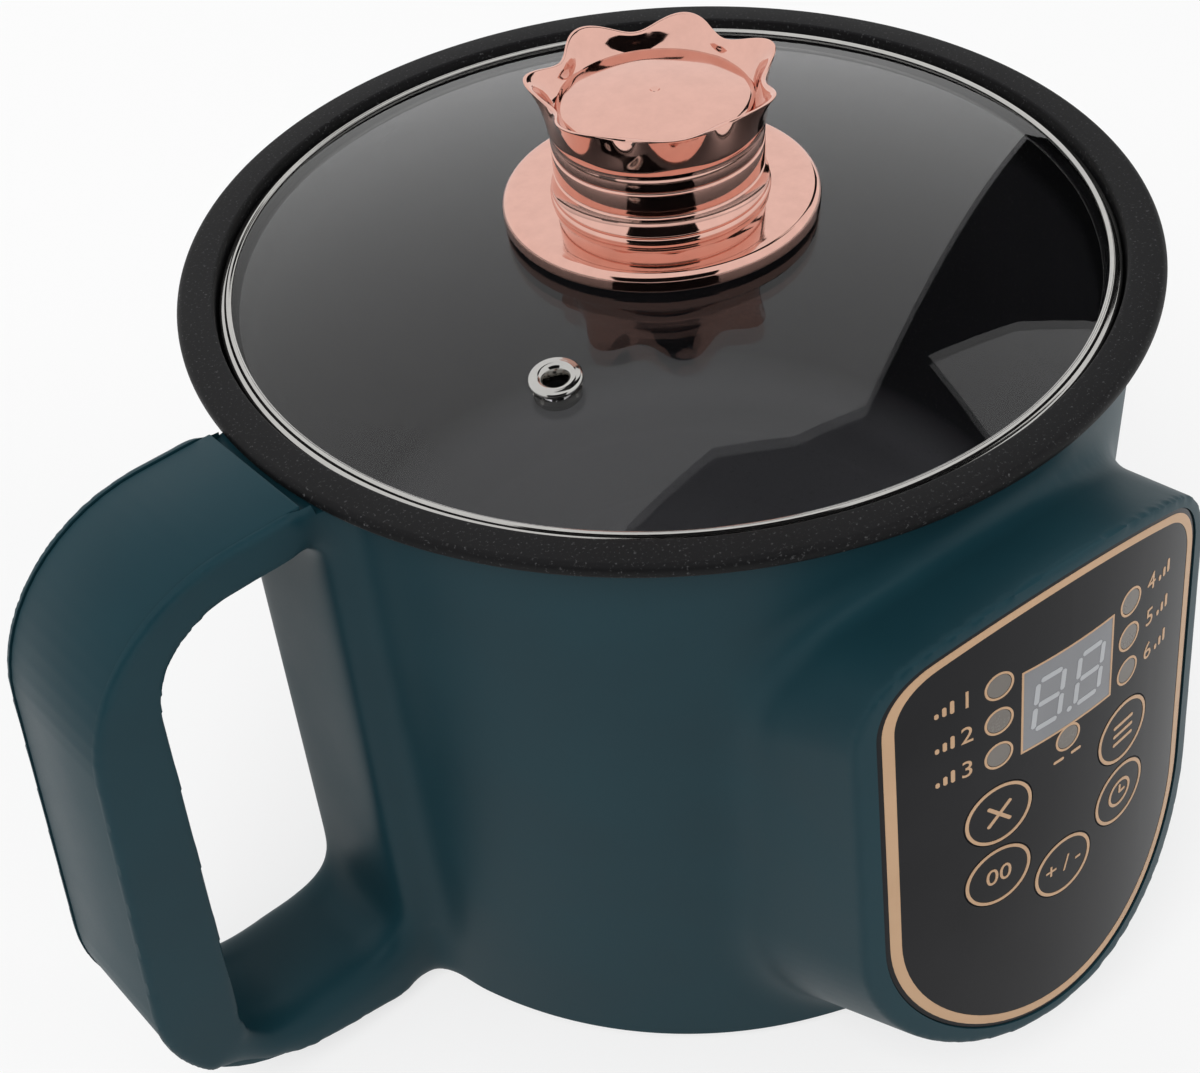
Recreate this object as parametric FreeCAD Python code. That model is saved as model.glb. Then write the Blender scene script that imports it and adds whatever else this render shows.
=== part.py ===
import FreeCAD, Part
import math
import os

# Electric hot pot with a lift-off glass lid, one handle and a control pod.
# Millimetres. +Z is up, the pot's axis is X = Y = 0, the table is Z = 0,
# and the control panel faces -Y.

V = FreeCAD.Vector

# Body shell
foot_height = 2.5
body_height = 143.5
body_taper = 2.0
body_wall = 2.0

# Inner pot and its rim
rim_overhang = 4.7
rim_thickness = 2.6
rim_edge_round = 1.2
seal_thickness = 0.8
pot_wall = 1.0
pot_floor_thickness = 2.0
under_pot_room = 43.5
pot_side_gap = 0.2
pot_seat_ledge = 4.0
pot_taper = 3.3
pot_corner_radius = 14.0

# Lid
lid_radius = 90.8
lid_seat_gap = 0.3
glass_thickness = 4.0
glass_edge_drop = 2.15
glass_dome = 10.75
band_thickness = 0.45
band_lip = 2.6
vent_inset = 35.3
vent_azimuth = 212.0
vent_hole_radius = 2.4
eyelet_radius = 5.2
eyelet_wall = 0.6
eyelet_height = 1.1

# Knob
knob_base_radius = 31.8
knob_base_top = 12.3
knob_base_thickness = 4.2
knob_base_shell = 1.7
knob_gasket_radius = 11.0
knob_neck_radius = 21.0
knob_groove_heights = (5.0, 10.2)
knob_groove_depth = 0.7
knob_groove_width = 1.0
crown_height = 24.3
crown_start = 14.5
crown_flare = 1.8
crown_petal_depth = 2.1
crown_petals = 7
crown_step = 0.4
crown_azimuth = 89.0
crown_wall = 1.4
crown_recess = 5.6
knob_cap_thickness = 1.8
knob_cap_dome = 1.6
insert_radius = 4.0
insert_height = 11.0
knob_screw_radius = 2.4
knob_screw_head_radius = 5.2
knob_screw_head_height = 2.6
knob_washer_radius = 9.0
knob_washer_thickness = 1.0
knob_hole_radius = 3.4

# Handle, in the plane of its own azimuth: distance past the body's top radius, drop below the rim
# and rise above the foot of the shell
handle_azimuth = 184.9
handle_width = 33.0
handle_top_past = 54.3
handle_top_drop = 0.6
handle_low_past = 64.7
handle_low_rise = 11.0
handle_top_round = 35.4
handle_low_round = 37.6
hole_inner_past = 3.9
hole_top_past = 41.1
hole_low_past = 46.0
hole_top_drop = 10.0
hole_low_rise = 15.2
hole_top_round = 18.0
hole_low_round = 15.0
hole_root_round = 9.0
hole_crown_round = 6.0
grip_cover_thickness = 2.2
grip_cover_margin = 1.6
grip_cover_recess = 0.3
grip_cover_top_past = 5.9
grip_cover_low_past = 25.7
grip_shoulder = 2.0
grip_channel_depth = 7.0
fit_gap = 0.2
back_plate_width = 24.0
back_plate_past = 2.9

# Control panel: a face bent round the pot's axis and leaning back
pod_reach = 21.4
panel_lean = 4.37
panel_row_drop = 29.3
panel_half_width = 39.6
panel_top = 17.7
panel_top_arc = 80.0
panel_corner_round = 16.0
panel_low_centre = -57.0
film_thickness = 0.8
film_recess = 0.3
film_ledge = 3.0
pod_lip = 3.0
pod_wall = 2.5
pod_draft = 4.0
pod_slope = 9.0
pod_length = 28.0

# Panel lights, display and keys, across and up from the top row of lights
light_column = 16.3
light_pitch = 8.4
light_radius = 2.5
centre_light_row = -22.2
display_half_width = 11.0
display_top = -0.1
display_bottom = -19.0
key_radius = 7.5
key_column = 16.1
key_top_row = -31.9
key_pitch = 16.6
key_centre_row = -56.6
key_gap = 0.2
key_face = 0.95
key_flange = 0.6
key_flange_overlap = 0.8
key_travel = 0.3
key_stem_radius = 2.2
carrier_thickness = 2.95
carrier_flange = 1.5

# Control board behind the panel
board_depth = 10.4
board_thickness = 1.6
board_half_width = 30.0
board_top = 10.0
board_bottom = -68.0
switch_size = 6.0
switch_height = 3.5
switch_button_radius = 1.7
switch_button_height = 0.3
led_radius = 1.5
led_height = 1.6
board_post_radius = 2.6
small_screw_radius = 1.1
small_screw_head_radius = 2.2
small_screw_head_height = 1.4

# Base
base_thickness = 2.5
base_rim_height = 2.5
base_rim_wall = 1.8
foot_inset = 16.3
foot_radius = 8.0
foot_stem_radius = 3.0
foot_azimuth = 54.0
base_screw_inset = 5.7
base_screw_azimuth = 39.0
base_boss_radius = 4.5
base_boss_height = 16.0
base_screw_radius = 1.5
base_screw_head_radius = 3.2
base_screw_head_height = 1.6
base_slot_length = 34.0
base_slot_width = 3.0
base_slot_pitch = 8.0

# Heating parts under the pot
heater_inset = 19.5
heater_thickness = 5.0
heater_hole_radius = 15.0
element_inset = 18.0
element_radius = 3.3
element_gap_angle = 50.0
terminal_length = 12.0
sensor_radius = 10.0
sensor_height = 6.0
sensor_wall = 1.2
spring_radius = 6.5
spring_wire_radius = 0.6
spring_turns = 5
spring_points_per_turn = 12
fuse_length = 22.0
fuse_radius = 2.2
shield_inset = 12.3
shield_thickness = 0.8
shield_drop = 9.0
shield_rim = 8.0
shield_post_inset = 8.0
shield_post_radius = 3.0

# Power parts on the base
power_board_length = 84.0
power_board_width = 56.0
power_post_height = 5.0
power_post_radius = 3.0
power_post_inset = 5.0
relay_size = (20.0, 15.5, 8.6)
transformer_size = (22.0, 20.0, 9.0)
terminal_size = (24.0, 10.0, 8.0)

# Power inlet at the back
inlet_width = 28.0
inlet_height = 20.0
inlet_depth = 19.0
inlet_wall = 1.8
inlet_flange = 3.5
inlet_flange_thickness = 2.0
inlet_centre_height = 17.6
pin_pitch = 7.0
pin_width = 2.0
pin_height = 4.0
pin_reach = 14.0
pin_tail = 6.0
pad_margin = 2.0

# Places worked out from the sizes
seat_radius = lid_radius + lid_seat_gap
body_top_radius = seat_radius + pot_wall + pot_side_gap + body_wall
body_base_radius = body_top_radius - body_taper
rim_radius = body_top_radius + rim_overhang
pot_mouth_radius = lid_radius - pot_seat_ledge
pot_floor_radius = pot_mouth_radius - pot_taper
pot_depth = body_height - under_pot_room
vent_radius_on_lid = lid_radius - vent_inset
handle_top_reach = body_top_radius + handle_top_past
handle_low_reach = body_top_radius + handle_low_past
handle_low_drop = body_height - handle_low_rise
hole_inner_reach = body_top_radius + hole_inner_past
hole_top_reach = body_top_radius + hole_top_past
hole_low_reach = body_top_radius + hole_low_past
hole_low_drop = body_height - hole_low_rise
grip_cover_top_reach = body_top_radius + grip_cover_top_past
grip_cover_low_reach = body_top_radius + grip_cover_low_past
back_plate_reach = body_top_radius + back_plate_past
panel_radius = body_top_radius + pod_reach
foot_circle = body_base_radius - foot_inset
base_screw_circle = body_base_radius - base_screw_inset
heater_radius = pot_floor_radius - heater_inset
element_circle = heater_radius - element_inset
shield_radius = body_base_radius - shield_inset
shield_post_circle = heater_radius - shield_post_inset
rim_z = foot_height + body_height
shell_top = rim_z - rim_thickness - seal_thickness
pot_floor_z = rim_z - pot_depth
pot_underside = pot_floor_z - pot_floor_thickness
base_top = foot_height + base_thickness
shell_base_radius = body_base_radius - body_wall
glass_radius = lid_radius - band_thickness
glass_top = rim_z - glass_edge_drop + glass_dome
dome_radius = (glass_radius ** 2 + glass_dome ** 2) / (2 * glass_dome)
glass_base = glass_top - glass_thickness
film_back = film_recess + film_thickness
pod_front_wall = film_back + pod_wall
key_rows = (key_top_row, key_top_row - key_pitch)
key_places = {
    "key_select": (key_column, key_rows[0]),
    "key_delay": (key_column, key_rows[1]),
    "key_cancel": (-key_column, key_rows[0]),
    "key_timer": (-key_column, key_rows[1]),
    "key_heat": (0.0, key_centre_row),
}
light_places = [(side * light_column, -row * light_pitch) for side in (-1, 1) for row in range(3)]
light_places.append((0.0, centre_light_row))


def keep(name, shape):
    """Write one sub-part as a STEP file."""
    shape.exportStep("parts/" + name + ".step")


def group(shapes):
    """Several solids of one kind in one sub-part."""
    return Part.makeCompound(shapes)


def cylinder(radius, low, high, x=0.0, y=0.0):
    """Upright cylinder between two heights."""
    return Part.makeCylinder(radius, high - low, V(x, y, low))


def ring(outer, inner, low, high):
    """Upright ring between two heights."""
    return cylinder(outer, low, high).cut(cylinder(inner, low, high))


def block(x, y, z, centre_x, centre_y, low):
    """Upright box centred in plan."""
    return Part.makeBox(x, y, z, V(centre_x - x / 2, centre_y - y / 2, low))


def around(radius, azimuth):
    """Place on a circle about the pot's axis."""
    angle = math.radians(azimuth)
    return radius * math.cos(angle), radius * math.sin(angle)


def rounded_wire(corners):
    """Closed wire through corners (point, radius), each rounded by its radius."""
    edges = []
    starts = []
    ends = []
    count = len(corners)
    for index, (corner, radius) in enumerate(corners):
        before = (corners[index - 1][0] - corner).normalize()
        after = (corners[(index + 1) % count][0] - corner).normalize()
        if radius <= 0:
            starts.append(corner)
            ends.append(corner)
            continue
        half = before.getAngle(after) / 2
        reach = radius / math.tan(half)
        first = corner + before * reach
        last = corner + after * reach
        middle_way = (before + after).normalize()
        middle = corner + middle_way * (radius / math.sin(half) - radius)
        edges.append((index, Part.Arc(first, middle, last).toShape()))
        starts.append(first)
        ends.append(last)
    arcs = dict(edges)
    chain = []
    for index in range(count):
        if index in arcs:
            chain.append(arcs[index])
        following = starts[(index + 1) % count]
        if (following - ends[index]).Length > 1e-6:
            chain.append(Part.LineSegment(ends[index], following).toShape())
    return Part.Wire(chain)


def turned(corners):
    """Solid turned about the pot's axis from corners (radius, height, rounding)."""
    wire = rounded_wire([(V(r, 0, z), rounding) for r, z, rounding in corners])
    return Part.Face(wire).revolve(V(0, 0, 0), V(0, 0, 1), 360)


def dome_z(radius, height):
    """Height of the lid's dome at a radius, for a dome whose centre is at a height."""
    return height - dome_radius + math.sqrt(dome_radius ** 2 - radius ** 2)


def dome_disc(radius, top, thickness):
    """Domed disc with its centre's top at a height."""
    half = radius / 2
    upper = [V(0, 0, top), V(half, 0, dome_z(half, top)), V(radius, 0, dome_z(radius, top))]
    drop = V(0, 0, -thickness)
    lower = [point + drop for point in upper]
    edges = [
        Part.Arc(*upper).toShape(),
        Part.LineSegment(upper[2], lower[2]).toShape(),
        Part.Arc(*lower[::-1]).toShape(),
        Part.LineSegment(lower[0], upper[0]).toShape(),
    ]
    return Part.Face(Part.Wire(edges)).revolve(V(0, 0, 0), V(0, 0, 1), 360)


def on_panel(shape):
    """Move a shape from the panel's own frame (across, up, out) to its place on the pod."""
    placed = shape.copy()
    turn = FreeCAD.Rotation(V(1, 0, 0), 90 - panel_lean)
    place = FreeCAD.Placement(V(0, -panel_radius, rim_z - panel_row_drop), turn)
    placed.Placement = place.multiply(placed.Placement)
    return placed


def drum(depth):
    """Cylinder whose skin lies a depth under the panel's bent face, in the panel's frame."""
    length = 4 * panel_radius
    return Part.makeCylinder(panel_radius - depth, length, V(0, -length / 2, -panel_radius), V(0, 1, 0))


def panel_wire(grow, out, shift=0.0):
    """Panel outline grown by a margin, at a distance out along the panel's normal."""
    half = panel_half_width + grow
    arc_radius = panel_top_arc + grow
    corner = panel_corner_round + grow
    arc_centre = panel_top - panel_top_arc + shift
    low_centre = panel_low_centre + shift
    corner_x = half - corner
    corner_y = arc_centre + math.sqrt((arc_radius - corner) ** 2 - corner_x ** 2)
    lean = math.atan2(corner_x, corner_y - arc_centre)
    join_x = arc_radius * math.sin(lean)
    join_y = arc_centre + arc_radius * math.cos(lean)
    swing = (lean + math.pi / 2) / 2
    mid_x = corner_x + corner * math.sin(swing)
    mid_y = corner_y + corner * math.cos(swing)
    top = V(0, arc_centre + arc_radius, out)
    bottom = V(0, low_centre - half, out)
    right = [V(half, low_centre, out), V(half, corner_y, out), V(mid_x, mid_y, out), V(join_x, join_y, out)]
    left = [V(-point.x, point.y, point.z) for point in right]
    return Part.Wire([
        Part.Arc(left[0], bottom, right[0]).toShape(),
        Part.LineSegment(right[0], right[1]).toShape(),
        Part.Arc(right[1], right[2], right[3]).toShape(),
        Part.Arc(right[3], top, left[3]).toShape(),
        Part.Arc(left[3], left[2], left[1]).toShape(),
        Part.LineSegment(left[1], left[0]).toShape(),
    ])


def panel_prism(grow):
    """Straight prism of the panel's outline, through the pod's front."""
    back = -2 * board_depth
    return Part.Face(panel_wire(grow, back)).extrude(V(0, 0, -2 * back))


def bent_plate(grow, front, back):
    """Plate bent like the panel, between two depths under its face."""
    return panel_prism(grow).common(drum(front)).cut(drum(back))


def peg(radius, place, front, back):
    """Round peg along the panel's normal, with its front bent like the panel."""
    x, y = place
    rod = Part.makeCylinder(radius, front + back + panel_radius, V(x, y, -back))
    return rod.common(drum(front))


def pod_loft(grow, front):
    """Drafted pod that widens and sinks towards the pot."""
    inner_out = -2 * pod_length
    outer_out = pod_length / 4
    sections = []
    for out in (outer_out, inner_out):
        share = -out / pod_length
        sections.append(panel_wire(grow + share * pod_draft, out, -share * pod_slope))
    return Part.makeLoft(sections, True, True).common(drum(front))


def shell_cone(inset, low, high):
    """Body cone, inset from the outer wall, between two heights."""
    slope = (body_top_radius - body_base_radius) / body_height
    first = body_base_radius - inset + slope * (low - foot_height)
    last = body_base_radius - inset + slope * (high - foot_height)
    return Part.makeCone(first, last, high - low, V(0, 0, low))


def handle_outline():
    """Outer outline of the handle in its own plane."""
    root = body_top_radius - handle_top_round
    return rounded_wire([
        (V(root, 0, rim_z - handle_top_drop), 0),
        (V(handle_top_reach, 0, rim_z - handle_top_drop), handle_top_round),
        (V(handle_low_reach, 0, rim_z - handle_low_drop), handle_low_round),
        (V(body_top_radius, 0, foot_height), 0),
        (V(root, 0, foot_height), 0),
    ])


def handle_hole():
    """Finger hole of the handle in its own plane."""
    low = rim_z - hole_low_drop
    high = rim_z - hole_top_drop
    return rounded_wire([
        (V(hole_inner_reach, 0, high), hole_crown_round),
        (V(hole_top_reach, 0, high), hole_top_round),
        (V(hole_low_reach, 0, low), hole_low_round),
        (V(hole_inner_reach, 0, low), hole_root_round),
    ])


def handle_slab(wire, width):
    """Slab of a width from a wire in the handle's plane, turned to the handle's azimuth."""
    slab = Part.Face(wire).extrude(V(0, width, 0))
    slab.translate(V(0, -width / 2, 0))
    slab.rotate(V(0, 0, 0), V(0, 0, 1), handle_azimuth)
    return slab


def grip_band(depth, thickness, width, trim=0.0):
    """Strip that follows the outside of the handle at a depth, clear of both roots."""
    outline = Part.Face(handle_outline())
    outer = outline.makeOffset2D(-depth) if depth > 0 else outline
    inner = outline.makeOffset2D(-depth - thickness)
    middle = rim_z - body_height / 2
    strip = outer.cut(inner)
    upper = Part.makeBox(rim_radius, 1, body_height, V(grip_cover_top_reach + trim, -0.5, middle))
    corner = V(grip_cover_low_reach + trim, -0.5, middle - body_height)
    lower = Part.makeBox(rim_radius, 1, body_height, corner)
    strip = strip.common(upper.fuse(lower))
    slab = strip.extrude(V(0, width, 0))
    slab.translate(V(0, -width / 2, 0))
    slab.rotate(V(0, 0, 0), V(0, 0, 1), handle_azimuth)
    return slab


def base_screw_places():
    """Plan places of the four screws that hold the bottom cover."""
    return [around(base_screw_circle, base_screw_azimuth + 90 * turn) for turn in range(4)]


def inlet_box(width, height, front, back):
    """Box about the inlet's centre between two distances out along +Y."""
    low = inlet_centre_height - height / 2
    return Part.makeBox(width, front - back, height, V(-width / 2, back, low))


def pad_face():
    """Distance of the flat landing for the inlet from the pot's axis."""
    half = inlet_width / 2 + inlet_flange + pad_margin
    return math.sqrt(body_base_radius ** 2 - half ** 2) + half ** 2 / body_base_radius


def housing():
    """Outer shell with the handle's frame and the pod in one moulding."""
    shell = shell_cone(0, foot_height, shell_top)
    handle = handle_slab(handle_outline(), handle_width)
    under_rim = cylinder(rim_radius + 3 * fit_gap, shell_top, rim_z + rim_thickness)
    handle = handle.cut(handle_slab(handle_hole(), 2 * handle_width))
    plate_low = rim_z - hole_low_drop
    plate = Part.makeBox(
        back_plate_reach - shell_base_radius + 2 * body_wall, back_plate_width, hole_low_drop - hole_top_drop,
        V(shell_base_radius - 2 * body_wall, -back_plate_width / 2, plate_low))
    plate.rotate(V(0, 0, 0), V(0, 0, 1), handle_azimuth)
    pad_half = inlet_width / 2 + inlet_flange + pad_margin
    pad_tall = inlet_height + 2 * (inlet_flange + pad_margin)
    pad = inlet_box(2 * pad_half, pad_tall, pad_face(), shell_base_radius - 2 * body_wall)
    above_table = cylinder(2 * rim_radius, foot_height, rim_z)
    shell = shell.fuse([handle, plate, on_panel(pod_loft(pod_lip, 0)), pad])
    shell = shell.common(above_table).cut(under_rim)
    depth = grip_cover_recess + grip_cover_thickness
    shell = shell.cut(grip_band(0, depth, handle_width - 2 * grip_cover_margin))
    channel_start = grip_cover_recess + grip_cover_thickness
    channel_width = handle_width - 2 * (grip_cover_margin + grip_shoulder)
    shell = shell.cut(grip_band(channel_start, grip_channel_depth, channel_width, grip_shoulder))
    shell = shell.cut(shell_cone(body_wall, foot_height, shell_top))
    hollow = on_panel(pod_loft(pod_lip - pod_wall, pod_front_wall))
    shell = shell.cut(hollow.cut(shell_cone(0, foot_height, shell_top)))
    shell = shell.cut(on_panel(bent_plate(fit_gap, -panel_radius / 2, film_back)))
    shell = shell.cut(on_panel(panel_prism(-film_ledge).cut(drum(pod_front_wall + pod_wall))))
    shell = shell.cut(inlet_box(inlet_width, inlet_height, pad_face() + body_wall, 0))
    return shell


def wire_window():
    """Opening low in the body wall between the base and the pod."""
    low = base_top + base_rim_height
    return block(board_half_width, 4 * body_wall, 2 * base_boss_radius, 0, -body_base_radius + body_wall, low)


def housing_bosses():
    """Bosses inside the shell for the bottom cover's screws."""
    bosses = []
    for x, y in base_screw_places():
        boss = cylinder(base_boss_radius, base_top, base_top + base_boss_height, x, y)
        bosses.append(boss)
    solid = bosses[0].fuse(bosses[1:])
    return solid.common(shell_cone(body_wall / 2, foot_height, shell_top))


def finished_housing():
    """Shell with its bosses, screw holes and wire window."""
    shell = housing().fuse(housing_bosses()).cut(wire_window())
    hole_radius = base_screw_radius + fit_gap / 2
    for x, y in base_screw_places():
        shell = shell.cut(cylinder(hole_radius, base_top, base_top + base_boss_height - body_wall, x, y))
    for x, y in carrier_screw_places():
        pilot = Part.makeCylinder(small_screw_radius, pod_wall, V(x, y, carrier_z(x) - pod_wall / 2))
        shell = shell.cut(on_panel(pilot))
    return shell.removeSplitter()


def grip_cover():
    """Cover strip that closes the outside of the handle."""
    width = handle_width - 2 * grip_cover_margin - 2 * fit_gap
    return grip_band(grip_cover_recess, grip_cover_thickness, width, fit_gap)


def inner_pot():
    """Drawn pot with the lid's seat and a flat rim."""
    seat_z = lid_bottom()
    neck = seat_radius + pot_wall
    outer = turned([
        (0, pot_underside, 0),
        (pot_floor_radius + pot_wall, pot_underside, pot_corner_radius + pot_wall),
        (pot_mouth_radius + pot_wall, seat_z - pot_wall, 0),
        (neck, seat_z - pot_wall, 0),
        (neck, rim_z - rim_thickness, 0),
        (rim_radius, rim_z - rim_thickness, rim_edge_round / 2),
        (rim_radius, rim_z, rim_edge_round),
        (0, rim_z, 0),
    ])
    hollow = turned([
        (0, pot_floor_z, 0),
        (pot_floor_radius, pot_floor_z, pot_corner_radius),
        (pot_mouth_radius, seat_z, 0),
        (seat_radius, seat_z, 0),
        (seat_radius, rim_z + rim_thickness, 0),
        (0, rim_z + rim_thickness, 0),
    ])
    return outer.cut(hollow)


def pot_seal():
    """Soft ring between the shell's top and the rim."""
    outer = body_top_radius - rim_edge_round / 2
    return ring(outer, seat_radius + pot_wall + fit_gap / 2, shell_top, shell_top + seal_thickness)


def lid_bottom():
    """Height of the lid band's lower edge, which is the lid's seat."""
    return dome_z(lid_radius, glass_top + band_thickness) - glass_thickness - 2 * band_thickness


def vent_place():
    """Plan place of the steam vent."""
    return around(vent_radius_on_lid, vent_azimuth)


def lid_glass():
    """Domed glass with a hole for the knob and one for the vent."""
    glass = dome_disc(glass_radius, glass_top, glass_thickness)
    glass = glass.cut(cylinder(knob_hole_radius, glass_base - knob_base_top, glass_top + knob_base_top))
    x, y = vent_place()
    return glass.cut(cylinder(vent_hole_radius + eyelet_wall, pot_floor_z, glass_top, x, y))


def lid_band():
    """Steel band crimped round the glass."""
    band = dome_disc(lid_radius, glass_top + band_thickness, glass_thickness + 2 * band_thickness)
    band = band.cut(cylinder(lid_radius - band_lip, pot_floor_z, glass_top + knob_base_top))
    return band.cut(dome_disc(glass_radius, glass_top, glass_thickness))


def vent_eyelet():
    """Steel eyelet in the vent hole, clinched over both faces of the glass."""
    high = dome_z(vent_radius_on_lid, glass_top)
    low = high - glass_thickness
    tilt = math.degrees(math.asin(vent_radius_on_lid / dome_radius))
    sleeve = cylinder(vent_hole_radius + eyelet_wall - fit_gap / 4, low - eyelet_height, high + eyelet_height)
    top = cylinder(eyelet_radius, high, high + eyelet_height)
    under = cylinder(eyelet_radius - eyelet_wall, low - eyelet_height, low)
    edges = [edge for edge in top.Edges if edge.CenterOfMass.z > high + eyelet_height / 2]
    top = top.makeFillet(eyelet_height / 2, edges)
    eyelet = sleeve.fuse([top, under])
    eyelet = eyelet.cut(cylinder(vent_hole_radius, low - 2 * eyelet_height, high + 2 * eyelet_height))
    eyelet.rotate(V(0, 0, (high + low) / 2), V(0, 1, 0), tilt)
    eyelet.translate(V(vent_radius_on_lid, 0, 0))
    eyelet.rotate(V(0, 0, 0), V(0, 0, 1), vent_azimuth)
    whole = dome_disc(glass_radius, glass_top, glass_thickness)
    core = cylinder(vent_hole_radius + eyelet_wall, pot_floor_z, glass_top, *vent_place())
    return eyelet.cut(whole.cut(core))


def petal_wire(height, mean, depth):
    """Closed wavy wire of the crown at a height."""
    points = []
    steps = 10 * crown_petals
    for step in range(steps):
        angle = 2 * math.pi * step / steps
        radius = mean + depth * math.cos(crown_petals * (angle - math.radians(crown_azimuth)))
        points.append(V(radius * math.cos(angle), radius * math.sin(angle), height))
    curve = Part.BSplineCurve()
    curve.interpolate(Points=points, PeriodicFlag=True)
    return Part.Wire([curve.toShape()])


def crown(inset, low_share):
    """Flaring crown, or its hollow when inset, from a share of its height to its edge."""
    low = rim_z + knob_base_top + crown_start
    high = rim_z + knob_base_top + crown_height
    wires = []
    for share in (low_share, (1 + low_share) / 2, 1.0):
        mean = knob_neck_radius + crown_step + crown_flare * share ** 1.5 - inset
        wires.append(petal_wire(low + (high - low) * share, mean, crown_petal_depth * share ** 1.5))
    return Part.makeLoft(wires, True, False)


def knob_body():
    """Turned neck with grooves and a wavy crown."""
    low = rim_z + knob_base_top
    start = low + crown_start
    neck = cylinder(knob_neck_radius, low, start)
    for groove in knob_groove_heights:
        inner = knob_neck_radius - knob_groove_depth
        neck = neck.cut(ring(knob_neck_radius, inner, low + groove, low + groove + knob_groove_width))
    body = neck.fuse(crown(0, 0))
    recess = 1 - crown_recess / (crown_height - crown_start)
    body = body.cut(crown(crown_wall, recess))
    body = body.cut(cylinder(insert_radius, low, low + insert_height))
    core = knob_neck_radius - 2 * crown_wall
    hollow = ring(core, 2 * insert_radius, low, start - crown_wall)
    return body.cut(hollow)


def knob_cap():
    """Slightly domed plate in the crown's recess, with a centre mark."""
    low = rim_z + knob_base_top + crown_height - crown_recess
    radius = knob_neck_radius - crown_wall - fit_gap
    sphere_radius = (radius ** 2 + knob_cap_dome ** 2) / (2 * knob_cap_dome)
    top = low + knob_cap_thickness + knob_cap_dome
    plate = cylinder(radius, low, top).common(Part.makeSphere(sphere_radius, V(0, 0, top - sphere_radius)))
    return plate.cut(Part.makeSphere(knob_cap_dome / 2, V(0, 0, top)))


def knob_base():
    """Round base plate of the knob, hollow underneath."""
    top = rim_z + knob_base_top
    low = top - knob_base_thickness
    disc = cylinder(knob_base_radius, low, top)
    rims = [edge for edge in disc.Edges if edge.Closed and abs(edge.CenterOfMass.z - top) < 1e-6]
    disc = disc.makeFillet(knob_base_shell, rims)
    disc = disc.cut(cylinder(knob_base_radius - knob_base_shell, low, gasket_top()))
    return disc.cut(cylinder(knob_hole_radius, low, top))


def gasket_top():
    """Height where the knob's base plate meets its gasket."""
    return rim_z + knob_base_top - knob_base_shell


def knob_gasket():
    """Soft disc between the glass and the knob's base plate."""
    return ring(knob_gasket_radius, knob_hole_radius, glass_top, gasket_top())


def knob_insert():
    """Threaded insert moulded into the knob."""
    low = rim_z + knob_base_top
    return ring(insert_radius, knob_screw_radius + fit_gap / 4, low, low + insert_height)


def washer_top():
    """Height of the washer's face under the domed glass."""
    return dome_z(knob_washer_radius, glass_base)


def knob_washer():
    """Washer under the glass."""
    return ring(knob_washer_radius, knob_hole_radius, washer_top() - knob_washer_thickness, washer_top())


def knob_screw():
    """Screw from under the lid into the knob's insert."""
    head_top = washer_top() - knob_washer_thickness
    shank = cylinder(knob_screw_radius, head_top, rim_z + knob_base_top + insert_height - knob_screw_radius)
    head = cylinder(knob_screw_head_radius, head_top - knob_screw_head_height, head_top)
    slot = block(2 * knob_screw_head_radius, insert_radius / 4, knob_screw_head_height, 0, 0,
                 head_top - 1.5 * knob_screw_head_height)
    return shank.fuse(head.cut(slot))


def display_prism(grow):
    """Rectangular prism of the display window, along the panel's normal."""
    width = 2 * (display_half_width + grow)
    height = display_top - display_bottom + 2 * grow
    low = display_bottom - grow
    return Part.makeBox(width, height, 4 * board_depth, V(-width / 2, low, -2 * board_depth))


def panel_film():
    """Printed front sheet with openings for the keys, lights and display."""
    film = bent_plate(0, film_recess, film_back)
    for place in key_places.values():
        film = film.cut(peg(key_radius + key_gap, place, -panel_radius / 2, board_depth))
    for place in light_places:
        film = film.cut(peg(light_radius + key_gap / 2, place, -panel_radius / 2, board_depth))
    return on_panel(film.cut(display_prism(key_gap / 2)))


def carrier_z(x):
    """Distance out, in the panel's frame, of the carrier flange's seat at a distance across."""
    radius = panel_radius - pod_front_wall
    return math.sqrt(radius ** 2 - x ** 2) - panel_radius


def carrier_screw_seat(x):
    """Distance out of a carrier screw's head, clear of the bent flange."""
    radius = panel_radius - pod_front_wall - carrier_flange
    return math.sqrt(radius ** 2 - (abs(x) + small_screw_head_radius) ** 2) - panel_radius


def carrier_screw_places():
    """Places of the screws that hold the carrier to the pod's ledge."""
    across = panel_half_width - film_ledge / 2
    rows = (panel_low_centre, -panel_corner_round)
    return [(side * across, row) for side in (-1, 1) for row in rows]


def board_post_places():
    """Places of the posts that carry the control board."""
    across = board_half_width - 2 * board_post_radius
    rows = (board_bottom + 2 * board_post_radius, board_top - 2 * board_post_radius)
    return [(side * across, row) for side in (-1, 1) for row in rows]


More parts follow.
